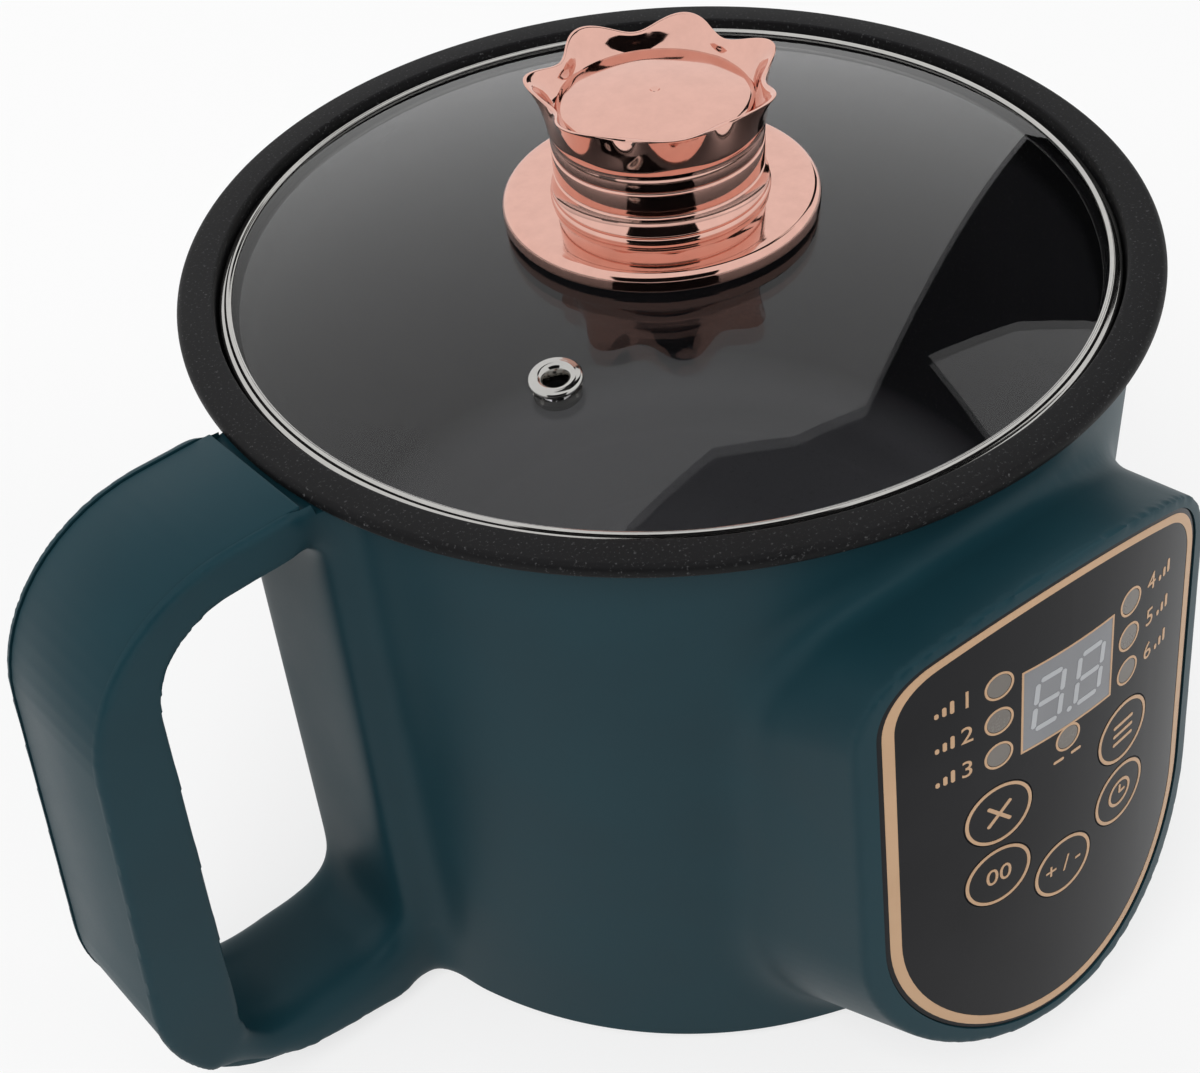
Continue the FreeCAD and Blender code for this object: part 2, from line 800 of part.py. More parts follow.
def panel_carrier():
    """Frame behind the film that guides the keys and carries the board."""
    flange_back = pod_front_wall + carrier_flange
    plate = bent_plate(-film_ledge - fit_gap, film_back, flange_back)
    flange = bent_plate(-fit_gap, pod_front_wall, flange_back)
    plate = plate.fuse(flange.common(pod_loft(pod_lip - pod_wall - fit_gap, pod_front_wall)))
    hollow = bent_plate(-film_ledge - 2 * body_wall, film_back + carrier_thickness, flange_back + pod_wall)
    plate = plate.cut(hollow)
    for place in board_post_places():
        plate = plate.fuse(peg(board_post_radius, place, film_back, board_depth))
        plate = plate.cut(Part.makeCylinder(small_screw_radius, board_depth / 2, V(*place, -board_depth)))
    pocket = film_back + key_flange + key_gap + 2 * key_travel
    for place in key_places.values():
        room = peg(key_radius + key_flange_overlap + key_gap, place, 0, 2 * board_depth)
        plate = plate.cut(room.cut(drum(pocket)))
        plate = plate.cut(peg(key_stem_radius + key_gap, place, 0, board_depth))
    for place in light_places:
        plate = plate.cut(peg(light_radius + key_gap / 2, place, 0, board_depth))
    for x, y in carrier_screw_places():
        low = carrier_z(x) - 2 * pod_wall
        plate = plate.cut(Part.makeCylinder(small_screw_radius + fit_gap / 4, 3 * pod_wall, V(x, y, low)))
    return on_panel(plate.cut(display_prism(key_gap)))


def key(place):
    """Round membrane key with a retaining flange and a stem."""
    face = peg(key_radius, place, film_recess, board_depth).cut(drum(film_recess + key_face))
    low = film_recess + key_face
    flange = peg(key_radius + key_flange_overlap, place, low, board_depth).cut(drum(low + key_flange))
    end = board_depth - switch_height - switch_button_height - key_travel - key_gap / 4
    stem = peg(key_stem_radius, place, film_recess, end)
    return on_panel(face.fuse([flange, stem]))


def display_window():
    """Clear window over the display."""
    return on_panel(display_prism(0).common(drum(film_recess)).cut(drum(film_back)))


def display_module():
    """Two-digit display on the control board."""
    height = display_top - display_bottom
    front = film_back + panel_radius - math.sqrt(panel_radius ** 2 - display_half_width ** 2) + fit_gap
    width = 2 * display_half_width
    return on_panel(Part.makeBox(width, height, board_depth - front,
                                 V(-display_half_width, display_bottom, -board_depth)))


def light_pipe(place):
    """Light guide from the board's diode to the film."""
    return on_panel(peg(light_radius, place, film_recess, board_depth - led_height - fit_gap))


def diode(place):
    """Small diode on the control board."""
    return on_panel(Part.makeCylinder(led_radius, led_height, V(*place, -board_depth)))


def switch(place):
    """Tact switch under a key."""
    x, y = place
    half = switch_size / 2
    body = Part.makeBox(switch_size, switch_size, switch_height, V(x - half, y - half, -board_depth))
    tall = switch_height + switch_button_height
    button = Part.makeCylinder(switch_button_radius, tall, V(x, y, -board_depth))
    return on_panel(body.fuse(button))


def control_board():
    """Circuit board behind the panel."""
    width = 2 * board_half_width
    board = Part.makeBox(width, board_top - board_bottom, board_thickness,
                         V(-board_half_width, board_bottom, -board_depth - board_thickness))
    for x, y in board_post_places():
        board = board.cut(Part.makeCylinder(small_screw_radius + fit_gap / 4, 2 * board_thickness,
                                            V(x, y, -board_depth - 1.5 * board_thickness)))
    return on_panel(board)


def small_screw(place, seat, reach):
    """Small screw along the panel's normal, its head behind a seat."""
    x, y = place
    under = V(x, y, seat - small_screw_head_height)
    head = Part.makeCylinder(small_screw_head_radius, small_screw_head_height, under)
    shank = Part.makeCylinder(small_screw_radius - fit_gap / 4, reach, V(x, y, seat))
    return on_panel(head.fuse(shank))


def board_screws():
    """Screws that hold the control board to the carrier's posts."""
    seat = -board_depth - board_thickness
    length = board_thickness + board_depth / 3
    return group([small_screw(place, seat, length) for place in board_post_places()])


def carrier_screws():
    """Screws that hold the carrier to the pod's ledge."""
    screws = []
    for x, y in carrier_screw_places():
        seat = carrier_screw_seat(x)
        screws.append(small_screw((x, y), seat, carrier_z(x) - seat + pod_wall / 3))
    return group(screws)


def bottom_cover():
    """Cover under the body with feet seats, screw wells and vent slots."""
    radius = shell_base_radius - fit_gap
    cover = cylinder(radius, foot_height, base_top)
    rim = ring(radius - base_boss_radius - base_rim_wall, radius - base_boss_radius - 2 * base_rim_wall,
               base_top, base_top + base_rim_height)
    for x, y in base_screw_places():
        rim = rim.cut(cylinder(base_boss_radius + fit_gap, base_top, base_top + base_rim_height, x, y))
    cover = cover.fuse(rim)
    for x, y in power_post_places():
        cover = cover.fuse(cylinder(power_post_radius, foot_height, base_top + power_post_height, x, y))
        cover = cover.cut(cylinder(small_screw_radius, base_top, base_top + power_post_height, x, y))
    for x, y in base_screw_places():
        cover = cover.cut(cylinder(base_screw_radius + fit_gap, foot_height, base_top, x, y))
        cover = cover.cut(cylinder(base_screw_head_radius + fit_gap, foot_height,
                                   foot_height + base_screw_head_height, x, y))
    for x, y in foot_places():
        cover = cover.cut(cylinder(foot_stem_radius + fit_gap / 4, foot_height, base_top, x, y))
    for row in range(-2, 3):
        slot = block(base_slot_length, base_slot_width, base_thickness, 0, row * base_slot_pitch, foot_height)
        cover = cover.cut(slot)
    return cover


def foot_places():
    """Plan places of the four feet."""
    return [around(foot_circle, foot_azimuth + 90 * turn) for turn in range(4)]


def feet():
    """Soft feet pressed into the bottom cover."""
    made = []
    for x, y in foot_places():
        pad = cylinder(foot_radius, 0, foot_height, x, y)
        edges = [edge for edge in pad.Edges if edge.CenterOfMass.z < foot_height / 4]
        pad = pad.makeFillet(foot_height / 4, edges)
        stem = cylinder(foot_stem_radius, foot_height, base_top, x, y)
        barb = cylinder(foot_stem_radius + fit_gap, base_top, base_top + base_thickness / 2, x, y)
        made.append(pad.fuse([stem, barb]))
    return group(made)


def base_screws():
    """Screws from below through the cover into the shell's bosses."""
    made = []
    for x, y in base_screw_places():
        seat = foot_height + base_screw_head_height
        head = cylinder(base_screw_head_radius, foot_height, seat, x, y)
        deep = base_screw_head_height / 2
        cross = block(base_screw_head_radius, base_screw_radius / 2, deep, x, y, foot_height)
        shank = cylinder(base_screw_radius, seat, base_top + base_boss_height / 2, x, y)
        made.append(head.cut(cross).fuse(shank))
    return group(made)


def heater_plate():
    """Cast plate brazed under the pot, with a groove for the element."""
    plate = ring(heater_radius, heater_hole_radius, pot_underside - heater_thickness, pot_underside)
    groove = Part.makeTorus(element_circle, element_radius + fit_gap / 4, V(0, 0, element_z()), V(0, 0, 1))
    for x, y in shield_post_places():
        post_low = pot_underside - heater_thickness - shield_drop
        plate = plate.fuse(cylinder(shield_post_radius, post_low, pot_underside - heater_thickness, x, y))
        plate = plate.cut(cylinder(small_screw_radius, post_low, pot_underside - heater_thickness, x, y))
    return plate.cut(groove)


def element_z():
    """Height of the element's centre line."""
    return pot_underside - heater_thickness


def heating_element():
    """Tubular element, open where its two ends turn down."""
    half_gap = math.radians(element_gap_angle / 2)
    profile = Part.Wire([Part.makeCircle(element_radius, V(element_circle, 0, element_z()), V(0, 1, 0))])
    tube = Part.Face(profile).revolve(V(0, 0, 0), V(0, 0, 1), 360 - element_gap_angle)
    tube.rotate(V(0, 0, 0), V(0, 0, 1), 90 + element_gap_angle / 2)
    for side in (-1, 1):
        angle = math.pi / 2 + side * half_gap
        x = element_circle * math.cos(angle)
        y = element_circle * math.sin(angle)
        ball = Part.makeSphere(element_radius, V(x, y, element_z()))
        low = element_z() - element_radius - terminal_length / 3
        end = cylinder(element_radius / 2, low, element_z(), x, y)
        tube = tube.fuse([ball, end])
    return tube


def shield_post_places():
    """Plan places of the posts between the heater plate and the heat shield."""
    return [around(shield_post_circle, 120 * turn - 30) for turn in range(3)]


def shield_z():
    """Height of the heat shield's upper face."""
    return pot_underside - heater_thickness - shield_drop


def heat_shield():
    """Pressed steel dish that keeps the heat off the base."""
    top = shield_z()
    low = top - shield_thickness
    dish = cylinder(shield_radius, low, top + shield_rim)
    dish = dish.cut(cylinder(shield_radius - shield_thickness, top, top + shield_rim))
    for x, y in shield_post_places():
        dish = dish.cut(cylinder(small_screw_radius + fit_gap / 2, low, top, x, y))
    for side in (-1, 1):
        x, y = around(element_circle, 90 + side * element_gap_angle / 2)
        dish = dish.cut(cylinder(element_radius, low, top, x, y))
    return dish


def shield_screws():
    """Screws that hold the heat shield to the heater plate's posts."""
    made = []
    seat = shield_z() - shield_thickness
    for x, y in shield_post_places():
        head = cylinder(2 * small_screw_radius, seat - small_screw_head_height, seat, x, y)
        shank = cylinder(small_screw_radius - fit_gap / 4, seat, shield_z() + shield_drop / 2, x, y)
        made.append(head.fuse(shank))
    return group(made)


def sensor_cup():
    """Temperature sensor's cup, pressed against the pot."""
    cup = cylinder(sensor_radius, pot_underside - sensor_height, pot_underside)
    hollow = cylinder(sensor_radius - sensor_wall, pot_underside - sensor_height, pot_underside - sensor_wall)
    return cup.cut(hollow)


def sensor_spring():
    """Coil spring between the heat shield and the sensor cup."""
    low = shield_z() + spring_wire_radius
    high = pot_underside - sensor_wall - spring_wire_radius
    steps = spring_turns * spring_points_per_turn
    points = []
    for i in range(steps + 1):
        angle = 2 * math.pi * i / spring_points_per_turn
        z = low + (high - low) * i / steps
        points.append(V(spring_radius * math.cos(angle), spring_radius * math.sin(angle), z))
    coil = Part.BSplineCurve()
    coil.interpolate(points)
    rise = (high - low) / (2 * math.pi * spring_turns * spring_radius)
    circle = Part.makeCircle(spring_wire_radius, points[0], V(0, 1, rise))
    return Part.Wire([coil.toShape()]).makePipeShell([Part.Wire([circle])], True, True)


def thermal_fuse():
    """Thermal fuse clipped under the heater plate."""
    radius = (heater_hole_radius + element_circle - element_radius) / 2
    z = pot_underside - heater_thickness - fuse_radius
    return Part.makeCylinder(fuse_radius, fuse_length, V(-radius, -fuse_length / 2, z), V(0, 1, 0))


def power_post_places():
    """Plan places of the posts that carry the power board."""
    across = power_board_length / 2 - power_post_inset
    deep = power_board_width / 2 - power_post_inset
    return [(side * across, end * deep) for side in (-1, 1) for end in (-1, 1)]


def power_board():
    """Power circuit board on the bottom cover."""
    low = base_top + power_post_height
    board = block(power_board_length, power_board_width, board_thickness, 0, 0, low)
    for x, y in power_post_places():
        board = board.cut(cylinder(small_screw_radius + fit_gap / 4, low, low + board_thickness, x, y))
    return board


def power_board_screws():
    """Screws that hold the power board to its posts."""
    made = []
    seat = base_top + power_post_height + board_thickness
    for x, y in power_post_places():
        head = cylinder(small_screw_head_radius, seat, seat + small_screw_head_height, x, y)
        shank = cylinder(small_screw_radius - fit_gap / 4, base_top + power_post_height / 3, seat, x, y)
        made.append(head.fuse(shank))
    return group(made)


def on_power_board(size, x, y):
    """Block-shaped component standing on the power board."""
    return block(size[0], size[1], size[2], x, y, base_top + power_post_height + board_thickness)


def power_inlet():
    """Three-pin appliance inlet in the back of the shell."""
    face = pad_face()
    body = inlet_box(inlet_width - 2 * fit_gap, inlet_height - 2 * fit_gap, face, face - inlet_depth)
    flange = inlet_box(inlet_width + 2 * inlet_flange, inlet_height + 2 * inlet_flange,
                       face + inlet_flange_thickness, face)
    inlet = body.fuse(flange)
    width = inlet_width - 2 * inlet_wall
    height = inlet_height - 2 * inlet_wall
    socket = inlet_box(width, height, face + inlet_flange_thickness, face - inlet_depth + inlet_wall)
    inlet = inlet.cut(socket)
    for turn in (-1, 0, 1):
        inlet = inlet.cut(pin(turn))
    return inlet


def pin(turn):
    """One flat pin of the inlet."""
    back = pad_face() - inlet_depth - pin_tail
    length = pin_tail + inlet_wall + pin_reach
    low = inlet_centre_height - pin_height / 2
    return Part.makeBox(pin_width, length, pin_height, V(turn * pin_pitch - pin_width / 2, back, low))


def inlet_pins():
    """Three flat pins of the inlet."""
    return group([pin(turn) for turn in (-1, 0, 1)])


os.makedirs("parts", exist_ok=True)

keep("housing", finished_housing())
keep("grip_cover", grip_cover())
keep("inner_pot", inner_pot())
keep("pot_seal", pot_seal())
keep("lid_glass", lid_glass())
keep("lid_band", lid_band())
keep("vent_eyelet", vent_eyelet())
keep("knob_base", knob_base())
keep("knob_body", knob_body())
keep("knob_cap", knob_cap())
keep("knob_gasket", knob_gasket())
keep("knob_insert", knob_insert())
keep("knob_washer", knob_washer())
keep("knob_screw", knob_screw())
keep("panel_film", panel_film())
keep("panel_carrier", panel_carrier())
keep("carrier_screws", carrier_screws())
keep("display_window", display_window())
keep("display_module", display_module())
keep("light_pipes", group([light_pipe(place) for place in light_places]))
keep("indicator_leds", group([diode(place) for place in light_places]))
keep("key_switches", group([switch(place) for place in key_places.values()]))
keep("control_board", control_board())
keep("board_screws", board_screws())
for name, place in key_places.items():
    keep(name, key(place))
keep("bottom_cover", bottom_cover())
keep("feet", feet())
keep("base_screws", base_screws())
keep("heater_plate", heater_plate())
keep("heating_element", heating_element())
keep("heat_shield", heat_shield())
keep("shield_screws", shield_screws())
keep("sensor_cup", sensor_cup())
keep("sensor_spring", sensor_spring())
keep("thermal_fuse", thermal_fuse())
keep("power_board", power_board())
keep("power_board_screws", power_board_screws())
keep("relay", on_power_board(relay_size, -power_board_length / 4, 0))
keep("transformer", on_power_board(transformer_size, power_board_length / 8, 0))
keep("terminal_block", on_power_board(terminal_size, 0, power_board_width / 2 - terminal_size[1]))
keep("power_inlet", power_inlet())
keep("inlet_pins", inlet_pins())
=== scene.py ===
import bpy
import math
from mathutils import Matrix, Vector
from mathutils.bvhtree import BVHTree
from mathutils.geometry import intersect_point_line


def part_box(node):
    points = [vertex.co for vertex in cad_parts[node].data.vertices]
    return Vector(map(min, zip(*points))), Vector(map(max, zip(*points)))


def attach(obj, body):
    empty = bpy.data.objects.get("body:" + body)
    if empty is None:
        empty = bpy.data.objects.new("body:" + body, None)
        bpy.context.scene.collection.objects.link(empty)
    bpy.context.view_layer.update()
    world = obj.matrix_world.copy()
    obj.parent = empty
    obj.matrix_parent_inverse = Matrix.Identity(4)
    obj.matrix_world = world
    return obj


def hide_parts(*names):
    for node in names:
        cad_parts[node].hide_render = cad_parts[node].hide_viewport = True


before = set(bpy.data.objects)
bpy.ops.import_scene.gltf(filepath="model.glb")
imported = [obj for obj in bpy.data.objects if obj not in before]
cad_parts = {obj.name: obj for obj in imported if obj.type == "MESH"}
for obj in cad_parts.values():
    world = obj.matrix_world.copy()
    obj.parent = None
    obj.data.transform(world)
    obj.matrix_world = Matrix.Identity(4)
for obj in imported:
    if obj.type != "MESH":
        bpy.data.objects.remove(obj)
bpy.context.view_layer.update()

# Sizes in metres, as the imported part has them
MM = 0.001
rim_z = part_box("inner_pot")[1].z
shell_top = rim_z - 3.4 * MM
foot_height = 2.5 * MM
body_top_radius = 94.3 * MM
body_base_radius = 92.3 * MM
body_wall = 2.0 * MM
rim_radius = 99.0 * MM
rim_thickness = 2.6 * MM
pot_floor_z = rim_z - 100.0 * MM
pot_mouth_radius = 86.8 * MM
pot_floor_radius = 83.5 * MM
lid_radius = 90.8 * MM
glass_radius = 90.35 * MM
glass_thickness = 4.0 * MM
glass_top = rim_z + 8.6 * MM
glass_dome = 10.75 * MM
dome_radius = (glass_radius ** 2 + glass_dome ** 2) / (2 * glass_dome)
vent_reach = 55.5 * MM
vent_azimuth = math.radians(212.0)
handle_azimuth = math.radians(184.9)
handle_width = 33.0 * MM
panel_radius = 115.7 * MM
panel_lean = math.radians(4.37)
panel_row_drop = 29.3 * MM
film_recess = 0.3 * MM
film_back = 1.1 * MM
film_lip = 3.0 * MM
handle_top_drop = 0.6 * MM
handle_low_drop = 132.5 * MM
handle_top_reach = 148.6 * MM
handle_low_reach = 159.0 * MM
handle_root = 58.0 * MM
hole_start = 98.2 * MM
hole_top_drop = 10.0 * MM
hole_low_drop = 128.3 * MM
hole_top_reach = 135.4 * MM
hole_low_reach = 140.3 * MM
hole_edge_round = 5.0 * MM
lip_round = 0.9 * MM
grip_depth = 2.5 * MM
grip_low_reach = 120.0 * MM
vent_bore = 3.0 * MM
screw_bore = 3.4 * MM
print_thick = 0.12 * MM
print_over_film = 0.02 * MM
key_over_film = 0.25 * MM
round_steps = 256


def tidy_selection():
    """Object mode with nothing selected."""
    if bpy.context.object and bpy.context.object.mode != "OBJECT":
        bpy.ops.object.mode_set(mode="OBJECT")
    bpy.ops.object.select_all(action="DESELECT")


def take(piece):
    """Make one piece the selected and active one."""
    tidy_selection()
    piece.select_set(True)
    bpy.context.view_layer.objects.active = piece
    return piece


def named(name):
    """Name the primitive just added and put its place into its mesh."""
    piece = bpy.context.object
    piece.name = name
    piece.data.name = name
    bpy.ops.object.transform_apply(location=True, rotation=True, scale=True)
    return piece


def edit(piece, select="SELECT"):
    """Edit mode on a piece with all or nothing selected."""
    take(piece)
    bpy.ops.object.mode_set(mode="EDIT")
    bpy.ops.mesh.select_mode(type="VERT")
    bpy.ops.mesh.select_all(action=select)


def leave_edit():
    """Back to object mode."""
    bpy.ops.object.mode_set(mode="OBJECT")


def modify(piece, kind, **settings):
    """Add a modifier with its settings and apply it."""
    take(piece)
    modifier = piece.modifiers.new(kind.title(), kind)
    for key, value in settings.items():
        setattr(modifier, key, value)
    bpy.ops.object.modifier_apply(modifier=modifier.name)
    return piece


def clean(piece, angle=35.0):
    """Merge doubles, turn faces outwards and shade by angle."""
    edit(piece)
    bpy.ops.mesh.remove_doubles(threshold=1e-6)
    bpy.ops.mesh.dissolve_degenerate(threshold=1e-7)
    bpy.ops.mesh.select_all(action="SELECT")
    bpy.ops.mesh.normals_make_consistent(inside=False)
    leave_edit()
    bpy.ops.object.shade_smooth_by_angle(angle=math.radians(angle))
    return piece


def wire(name, points, fill="NOTHING"):
    """Closed line or flat face through points."""
    tidy_selection()
    bpy.ops.mesh.primitive_circle_add(vertices=len(points), radius=1.0, fill_type=fill)
    piece = named(name)
    for vertex, point in zip(piece.data.vertices, points):
        vertex.co = point
    return piece


def turned(name, profile, steps=192, angle=35.0):
    """Piece turned about the pot's axis from a closed profile of (radius, height)."""
    piece = wire(name, [(r, 0.0, z) for r, z in profile])
    edit(piece)
    bpy.ops.mesh.spin(steps=steps, angle=2 * math.pi, center=(0, 0, 0), axis=(0, 0, 1))
    leave_edit()
    return clean(piece, angle)


def prism(name, points, along):
    """Straight prism from a flat outline."""
    piece = wire(name, points, "NGON")
    edit(piece)
    bpy.ops.mesh.extrude_region_move(TRANSFORM_OT_translate={"value": along})
    bpy.ops.mesh.select_all(action="SELECT")
    bpy.ops.mesh.normals_make_consistent(inside=False)
    leave_edit()
    return piece


def loft(name, rings, fill="NGON"):
    """Skin through rings of as many points each, by extruding and placing one after another."""
    piece = wire(name, rings[0], fill)
    for before, after in zip(rings, rings[1:]):
        take(piece)
        bpy.ops.object.mode_set(mode="EDIT")
        bpy.ops.mesh.select_mode(type="VERT")
        if before is rings[0]:
            bpy.ops.mesh.select_all(action="SELECT")
        if fill == "NGON":
            bpy.ops.mesh.extrude_region_move()
        else:
            bpy.ops.mesh.extrude_edges_move()
        leave_edit()
        places = {spot(old): new for old, new in zip(before, after)}
        for vertex in piece.data.vertices:
            if vertex.select:
                vertex.co = places[spot(vertex.co)]
    edit(piece)
    bpy.ops.mesh.normals_make_consistent(inside=False)
    leave_edit()
    return piece


def spot(point):
    """Key of a place, to a micrometre."""
    return tuple(round(float(c) * 1e6) for c in Vector(point))


def cut(piece, tool, operation="DIFFERENCE"):
    """Boolean of a piece with a tool that is used up."""
    modify(piece, "BOOLEAN", operation=operation, solver="EXACT", object=tool)
    bpy.data.objects.remove(tool)
    return piece


def bevel_where(piece, choose, width, segments):
    """Round the edges whose two ends are chosen by their place."""
    edit(piece, "DESELECT")
    bpy.ops.mesh.select_mode(type="EDGE")
    leave_edit()
    points = piece.data.vertices
    for edge in piece.data.edges:
        edge.select = choose(points[edge.vertices[0]].co, points[edge.vertices[1]].co)
    bpy.ops.object.mode_set(mode="EDIT")
    bpy.ops.mesh.bevel(offset=width, segments=segments, affect="EDGES", clamp_overlap=True)
    leave_edit()
    return piece


def arc(centre, radius, first, last, steps):
    """Points and outward normals on an arc between two angles in degrees."""
    out = []
    for step in range(steps + 1):
        angle = math.radians(first + (last - first) * step / steps)
        normal = (math.cos(angle), math.sin(angle))
        out.append(((centre[0] + radius * normal[0], centre[1] + radius * normal[1]), normal))
    return out


def arc_points(centre, radius, first, last, steps):
    """Points alone on an arc."""
    return [point for point, normal in arc(centre, radius, first, last, steps)]


def rounded(corners, steps=14):
    """Points and outward normals of a closed outline, counter-clockwise, with rounded corners."""
    out = []
    count = len(corners)
    for index, (x, y, radius) in enumerate(corners):
        here = Vector((x, y))
        before = (Vector(corners[index - 1][:2]) - here).normalized()
        after = (Vector(corners[(index + 1) % count][:2]) - here).normalized()
        first = Vector((before.y, -before.x)) * -1
        last = Vector((after.y, -after.x))
        half = before.angle(after) / 2
        middle = here + (before + after).normalized() * (radius / math.sin(half))
        start = math.degrees(math.atan2(first.y, first.x))
        sweep = math.degrees(first.angle(last))
        pieces = steps if radius > 0 else 1
        out += arc(middle, radius, start, start + sweep, pieces)
    return out


def moved_out(outline, distance):
    """Points of an outline moved along its normals."""
    return [(p[0] + n[0] * distance, p[1] + n[1] * distance) for p, n in outline]


def dome_z(radius, top):
    """Height of the lid's dome at a radius."""
    return top - dome_radius + math.sqrt(dome_radius ** 2 - radius ** 2)


def smoothstep(value):
    """Share from 0 to 1 eased at both ends."""
    value = min(max(value, 0.0), 1.0)
    return value * value * (3 - 2 * value)


# The panel's own frame: across, up and depth under its bent face
def panel_point(across, up, depth):
    """Place at a depth under the bent face."""
    out = math.sqrt((panel_radius - depth) ** 2 - across ** 2) - panel_radius
    return flat_point(across, up, out)


def flat_point(across, up, out):
    """Place at a distance in front of the flat plane that touches the face."""
    sine = math.sin(panel_lean)
    cosine = math.cos(panel_lean)
    y = -panel_radius + up * sine - out * cosine
    z = rim_z - panel_row_drop + up * cosine + out * sine
    return Vector((across, y, z))


def panel_outline(grow, shift=0.0, top_trim=0.0):
    """Outline of the panel grown by a margin: flat sides, a round foot and a bowed top."""
    half = 39.6 * MM + grow
    arc_radius = 80.0 * MM + grow
    corner = 16.0 * MM + grow
    arc_centre = (17.7 - 80.0) * MM + shift - top_trim
    low_centre = -57.0 * MM + shift
    corner_x = half - corner
    corner_y = arc_centre + math.sqrt((arc_radius - corner) ** 2 - corner_x ** 2)
    lean = math.degrees(math.atan2(corner_x, corner_y - arc_centre))
    points = arc_points((0, low_centre), half, 180, 360, 48)
    side = 16
    for step in range(1, side):
        points.append((half, low_centre + (corner_y - low_centre) * step / side))
    points += arc_points((corner_x, corner_y), corner, 0, 90 - lean, 14)
    points += arc_points((0, arc_centre), arc_radius, 90 - lean, 90 + lean, 24)[1:-1]
    points += arc_points((-corner_x, corner_y), corner, 90 + lean, 180, 14)
    for step in range(side - 1, 0, -1):
        points.append((-half, low_centre + (corner_y - low_centre) * step / side))
    return points


def drum(depth):
    """Cylinder whose skin is the panel's bent face at a depth."""
    tidy_selection()
    centre = flat_point(0, 0, -panel_radius)
    bpy.ops.mesh.primitive_cylinder_add(
        vertices=512, radius=panel_radius - depth, depth=0.6, location=centre, rotation=(-panel_lean, 0, 0))
    return named("drum")


def panel_prism(grow):
    """Straight prism of the panel's outline through the pod's front."""
    back = [flat_point(u, v, -50 * MM) for u, v in panel_outline(grow)]
    front = [flat_point(u, v, 20 * MM) for u, v in panel_outline(grow)]
    return loft("panel_prism", [back, front])


def body_cone(inset, low, high, name="body_cone"):
    """Body's taper between two heights, inset from its outer face."""
    slope = (body_top_radius - body_base_radius) / (rim_z - foot_height)
    first = body_base_radius - inset + slope * (low - foot_height)
    last = body_base_radius - inset + slope * (high - foot_height)
    tidy_selection()
    bpy.ops.mesh.primitive_cone_add(
        vertices=384, radius1=first, radius2=last, depth=high - low, location=(0, 0, (low + high) / 2))
    return named(name)


def in_handle(reach, side, z):
    """Place from distance out, distance across and height in the handle's own plane."""
    cosine = math.cos(handle_azimuth)
    sine = math.sin(handle_azimuth)
    return Vector((reach * cosine - side * sine, reach * sine + side * cosine, z))


def handle_outline():
    """Outside of the handle in its own plane."""
    top = rim_z - handle_top_drop
    return rounded([
        (handle_root, top, 0),
        (handle_root, foot_height - 3 * MM, 0),
        (body_top_radius, foot_height - 0.3 * MM, 60.0 * MM),
        (handle_low_reach, rim_z - handle_low_drop, 37.6 * MM),
        (handle_top_reach, top, 35.4 * MM),
    ])


def handle_hole():
    """Finger hole in the handle's own plane."""
    low = rim_z - hole_low_drop
    high = rim_z - hole_top_drop
    return rounded([
        (hole_start, high, 6.0 * MM),
        (hole_start, low, 9.0 * MM),
        (hole_low_reach, low, 15.0 * MM),
        (hole_top_reach, high, 18.0 * MM),
    ])


def in_plane(piece):
    """Turn the handle's own plane, drawn on X and Z, to its azimuth."""
    for vertex in piece.data.vertices:
        vertex.co = in_handle(vertex.co.x, vertex.co.y, vertex.co.z)
    return piece


def handle_solid():
    """Handle with its finger hole, thin lips outside and soft edges inside."""
    half = handle_width / 2
    outline = handle_outline()
    slab = prism("handle", [(p[0], -half, p[1]) for p, n in outline], (0, handle_width, 0))
    hole = handle_hole()
    tool = prism("hole", [(p[0], -2 * half, p[1]) for p, n in hole], (0, 2 * handle_width, 0))
    cut(slab, tool)
    touching = 0.02 * MM

    def on_line(point, line):
        flat = Vector((point.x, point.z))
        at_side = abs(abs(point.y) - half) < touching / 2
        return at_side and min((flat - Vector(p)).length for p, n in line) < touching

    def hole_edge(a, b):
        return a.y * b.y > 0 and on_line(a, hole) and on_line(b, hole)

    bevel_where(slab, hole_edge, hole_edge_round, 6)

    def outer_edge(a, b):
        outside = max(a.x, b.x) > 90 * MM and a.y * b.y > 0
        return outside and on_line(a, outline) and on_line(b, outline)

    bevel_where(slab, outer_edge, lip_round, 3)
    return in_plane(slab)


def pod_solid():
    """Pod that widens and sinks towards the body, with its face bent."""
    rings = []
    for out in (7.0, -56.0):
        share = -out / 28.0
        outline = panel_outline((3.0 + 4.0 * share) * MM, -9.0 * share * MM)
        rings.append([flat_point(u, v, out * MM) for u, v in outline])
    pod = loft("pod", rings)
    cut(pod, drum(0), "INTERSECT")
    return pod


def skin_tree(piece):
    """Search tree over a piece's faces."""
    points = [vertex.co.copy() for vertex in piece.data.vertices]
    return BVHTree.FromPolygons(points, [list(face.vertices) for face in piece.data.polygons])


def duplicate(piece, name):
    """Second piece of the same shape."""
    copy = piece.copy()
    copy.data = piece.data.copy()
    copy.name = name
    bpy.context.scene.collection.objects.link(copy)
    return copy


def plate_solid():
    """Flat plate on the body behind the finger hole."""
    outer = 97.2 * MM
    inner = 60 * MM
    low = rim_z - 130 * MM
    high = rim_z - 9 * MM
    half = 12 * MM
    corners = [(inner, -half, low), (outer, -half, low), (outer, -half, high), (inner, -half, high)]
    return in_plane(prism("plate", corners, (0, 2 * half, 0)))


